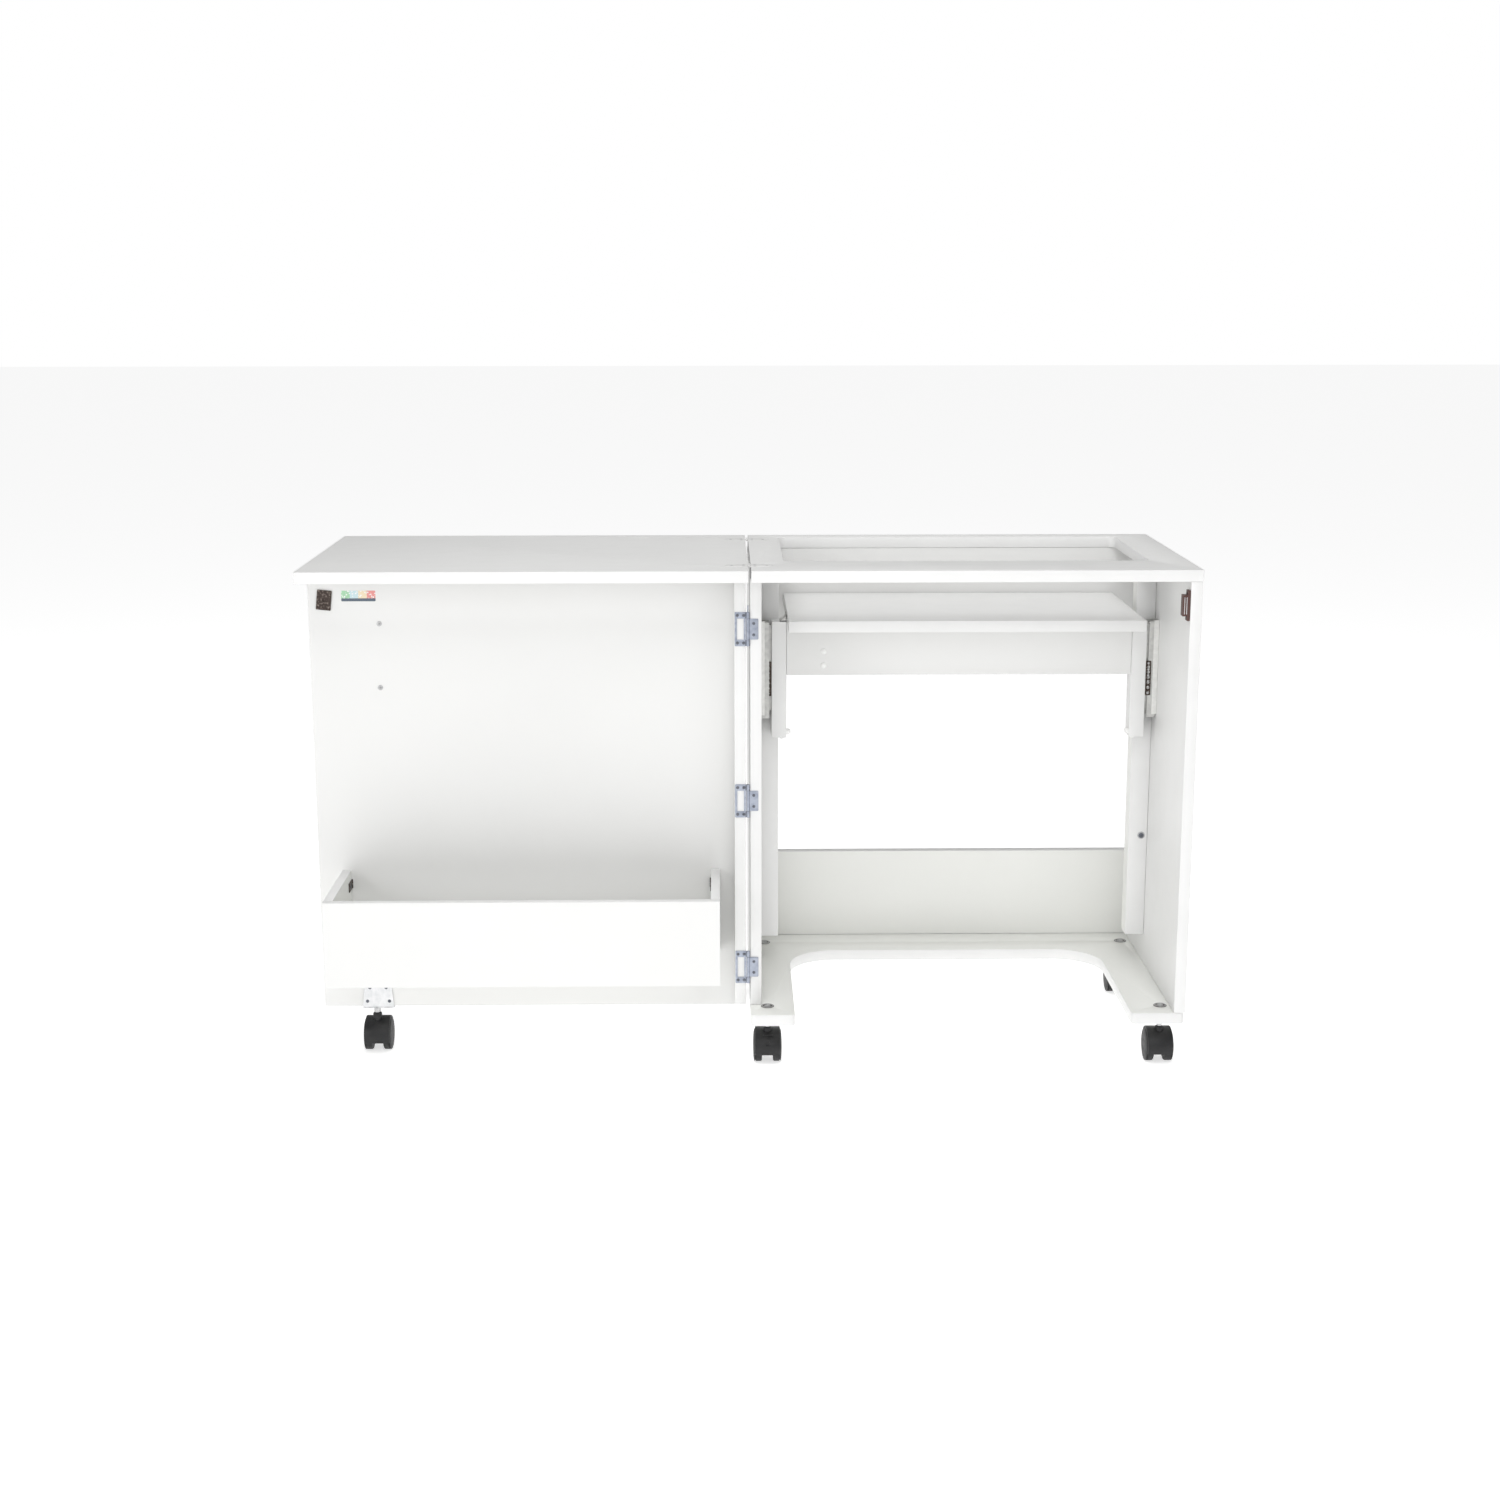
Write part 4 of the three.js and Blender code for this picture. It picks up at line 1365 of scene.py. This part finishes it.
    def post_screw(self) -> None:
        """The bright screw and its washer in the front of the right lift post."""
        low, high = box_mm("lift_post_right")
        x, z = high.x - self.post_screw_inset, self.post_screw_z
        washer = Form.turned([(0, 0), (6.0, 0), (6.0, 0.5), (5.5, 0.9), (0, 0.9)], 32)
        add_piece("post_washer", Form().absorb(washer, facing((x, low.y, z), FRONT)), SATIN_NICKEL, Body.CABINET)
        self.screws.add(Body.CABINET, 4.2, (x, low.y - 0.8, z), FRONT, SCREW_ZINC_PAINTED_DARKER)


# ---- Casters ------------------------------------------------------------------------------------------


@dataclass
class TwinWheelCaster:
    """A hooded twin-wheel caster: curved cover, web, neck, stem, and two wheels with domed outer faces."""

    place: str
    slotted: bool = False
    wheel_r: float = 25.0
    cover_half: float = 19.2
    cover_inner: float = 25.7
    cover_outer: float = 28.3
    cover_end: float = 196.0
    web_half: float = 8.0
    collar_top: float = 57.4
    stem_r: float = 3.9
    x: float = field(init=False)
    y: float = field(init=False)
    axle: float = field(init=False)

    def build(self) -> None:
        """Makes the hood, the stem and both wheels."""
        stem_low, stem_high = box_mm(f"caster_{self.place}_stem")
        self.x, self.y = (stem_low.x + stem_high.x) / 2, (stem_low.y + stem_high.y) / 2
        wheel_low, wheel_high = box_mm(f"caster_{self.place}_wheel_left")
        self.axle = (wheel_low.y + wheel_high.y) / 2
        self.hood()
        self.stem(stem_low.z, stem_high.z)
        for side in Side:
            self.wheel(side)

    def hood(self) -> None:
        """Makes the cover, the web between the wheels, the neck and its collar."""
        half, inner, outer = self.cover_half, self.cover_inner, self.cover_outer
        section = [(-half, inner), (-half, outer - 0.9), (-half + 0.3, outer - 0.3), (-half + 0.9, outer),
                   (half - 0.9, outer), (half - 0.3, outer - 0.3), (half, outer - 0.9), (half, inner)]
        middle = upright_at((self.x, self.axle, self.wheel_r))
        form = Form().absorb(Form.swept_round(section, -11, self.cover_end, 52), middle)
        if self.slotted:
            form = self.pin_hole(form)
        web = [(-self.web_half, 0.5), (-self.web_half, inner + 0.4), (self.web_half, inner + 0.4),
               (self.web_half, 0.5)]
        form.absorb(Form.swept_round(web, -9, self.cover_end - 2, 40), middle)
        boss = Form.turned(bar_profile(8, -self.web_half, self.web_half, 0.5), 28)
        form.absorb(boss, middle @ Matrix.Rotation(math.radians(90), 4, "Y"))
        top = self.collar_top
        neck = [(0, 46), (6.0, 46), (6.0, 51.5), (6.9, 52.2), (6.9, top - 2), (6.3, top - 0.8), (4.9, top), (0, top)]
        form.absorb(Form.turned(neck, 36), upright_at((self.x, self.y, 0)))
        finish_node(f"caster_{self.place}_hood", form, (BLACK_NYLON,), f"caster_{self.place}")

    def pin_hole(self, form: Form) -> Form:
        """The square pin hole and the two finger ribs above it, on the front of a braked caster's hood."""
        front = self.axle - self.cover_outer
        form.cut(Form.block((self.x - 3, front - 3, 33.0), (self.x + 3, front + 7, 38.5), 0.2, 0.2))
        for x, half, z, lean in ((1.0, 7.6, 46.8, 8.7), (4.0, 2.2, 43.4, 6.2)):
            form.absorb(Form.block((self.x + x - half, front + lean - 1.2, z - 0.7),
                                   (self.x + x + half, front + lean + 1.8, z + 0.7), 0.35, 0.2))
        return form.paint(0)

    def stem(self, low: float, high: float) -> None:
        """Makes the steel stem: a short shouldered one below a bracket, or a grooved one for a socket."""
        r = self.stem_r
        if high - low < 20:
            profile = [(0, low), (r, low), (r, low + 5.4), (5.2, low + 5.8), (5.2, high - 0.6), (4.6, high),
                       (0, high)]
        else:
            profile = [(0, low), (r, low), (r, high - 8), (3.3, high - 7.4), (3.3, high - 6), (r, high - 5.4),
                       (r, high - 1), (3.2, high), (0, high)]
        form = Form().absorb(Form.turned(profile, 28), upright_at((self.x, self.y, 0)))
        finish_node(f"caster_{self.place}_stem", form, (SATIN_NICKEL,), f"caster_{self.place}")

    def wheel(self, side: Side) -> None:
        """Makes one wheel: crowned tread, a step at the hood's edge, and a domed outer face with a hub."""
        node = f"caster_{self.place}_wheel_{side.label}"
        low, high = box_mm(node)
        r, width = self.wheel_r, high.x - low.x
        profile = [(0, 0.6), (4.5, 0.6), (4.5, 0), (r - 2.4, 0), (r - 0.9, 0.4), (r - 0.15, 1.4), (r, 3.0),
                   (r, width - 4.2), (r - 1.6, width - 3.9), (r - 1.6, width - 2.9), (r, width - 2.6),
                   (r - 0.4, width - 1.9), (r - 2.6, width - 1.1), (r - 7.0, width - 0.5), (r - 12, width - 0.2),
                   (8.6, width), (8.1, width - 0.5), (7.5, width), (0, width)]
        inner = low.x if side is Side.RIGHT else high.x
        place = facing((inner, (low.y + high.y) / 2, (low.z + high.z) / 2), (side.value, 0, 0))
        finish_node(node, Form().absorb(Form.turned(profile, 56), place), (BLACK_TREAD,), node)


# ---- Studio -------------------------------------------------------------------------------------------


@dataclass
class Studio:
    """A pale floor, soft lights and the camera."""

    lens: float = 53.19
    camera_place: Point3 = (-41.4, -3377.2, 1187.4)
    pitch: float = 0.2121
    yaw: float = 0.0130
    roll: float = 0.0010
    ambient: float = 0.37
    aim: Point3 = (0, 0, 400)
    soft_boxes: tuple[tuple[str, Point3, float, float], ...] = (
        ("left_soft_box", (-3200, -3400, 1500), 1.6, 29),
        ("right_soft_box", (3200, -3400, 1500), 1.6, 10),
        ("front_soft_box", (-40, -4600, 2200), 2.0, 28),
        ("upper_soft_box", (0, -1800, 3200), 2.0, 42),
        ("overhead_soft_box", (0, 500, 3200), 2.4, 22))

    def build(self) -> None:
        """Makes the floor, the world, the lights and the camera."""
        self.floor()
        self.world()
        for name, place, size, power in self.soft_boxes:
            self.soft_box(name, place, size, power)
        self.camera()

    def floor(self) -> None:
        """A pale floor that is bright enough to vanish into the background."""
        bpy.ops.mesh.primitive_plane_add(size=40.0, location=(0, 6.0, 0))
        floor = bpy.context.object
        floor.name = "studio_floor"
        material = bpy.data.materials.new("studio floor")
        material.use_nodes = True
        graph = ShaderGraph(material)
        graph.set(Base_Color=(0.9, 0.9, 0.9, 1), Roughness=0.9, Specular_IOR_Level=0.0)
        graph.set(Emission_Color=(1, 1, 1, 1), Emission_Strength=0.6)
        floor.data.materials.append(material)
        floor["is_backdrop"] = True

    def world(self) -> None:
        """An even white surround, seen brighter than it lights."""
        world = bpy.data.worlds.new("studio")
        world.use_nodes = True
        graph = NodeGraph(world.node_tree)
        background = world.node_tree.nodes["Background"]
        background.inputs["Color"].default_value = (1, 1, 1, 1)
        seen = graph.node("ShaderNodeLightPath").outputs["Is Camera Ray"]
        extra = graph.math("MULTIPLY", seen, 1.0 - self.ambient)
        graph.feed(background.inputs["Strength"], graph.math("ADD", extra, self.ambient))
        bpy.context.scene.world = world

    def soft_box(self, name: str, place: Point3, size: float, power: float) -> None:
        """One square area light, aimed at the middle of the object.

        Args:
            name: the light's name.
            place: where it stands, in millimetres.
            size: its side in metres.
            power: its power in watts.
        """
        light = bpy.data.lights.new(name, "AREA")
        light.shape = "SQUARE"
        light.size = size
        light.energy = power
        lamp = bpy.data.objects.new(name, light)
        lamp.location = Vector(place) * MM
        lamp.rotation_euler = (Vector(self.aim) - Vector(place)).to_track_quat("-Z", "Y").to_euler()
        bpy.context.scene.collection.objects.link(lamp)

    def camera(self) -> None:
        """The camera, seated in front of the seam and looking slightly down."""
        data = bpy.data.cameras.new("camera")
        data.lens = self.lens
        data.sensor_width = 36.0
        data.clip_end = 60.0
        camera = bpy.data.objects.new("camera", data)
        camera.location = Vector(self.camera_place) * MM
        turn = Matrix.Rotation(-self.yaw, 4, "Z") @ Matrix.Rotation(math.pi / 2 - self.pitch, 4, "X")
        camera.rotation_euler = (turn @ Matrix.Rotation(-self.roll, 4, "Z")).to_euler()
        bpy.context.scene.collection.objects.link(camera)
        bpy.context.scene.camera = camera
        bpy.context.scene.view_settings.view_transform = "Standard"


# ---- Whole object -------------------------------------------------------------------------------------


def corners() -> list[list[float]]:
    """The shown object's lowest and highest corner as plain lists."""
    return [list(corner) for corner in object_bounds()]


def main() -> None:
    """Builds the cabinet's finished pieces on the frame."""
    logging.basicConfig(level=logging.INFO, format="%(name)s: %(message)s")
    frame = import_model()
    Studio().build()
    screws = Screws()
    Boards().build()
    BasePlate().build()
    Tops(screws).build()
    for place in ("top", "middle", "bottom"):
        DoorHinge(place, screws).build()
    DoorFittings(screws).build()
    MagneticCatch(screws).build()
    LiftFittings(screws, frame["nodes"]).build()
    for place in ("front_left", "front_right", "rear_left", "rear_right", "door"):
        collar = 62.5 if place == "door" else 57.4
        TwinWheelCaster(place, slotted=place == "front_left", collar_top=collar).build()
    screws.build()


if __name__ == "__main__":
    main()
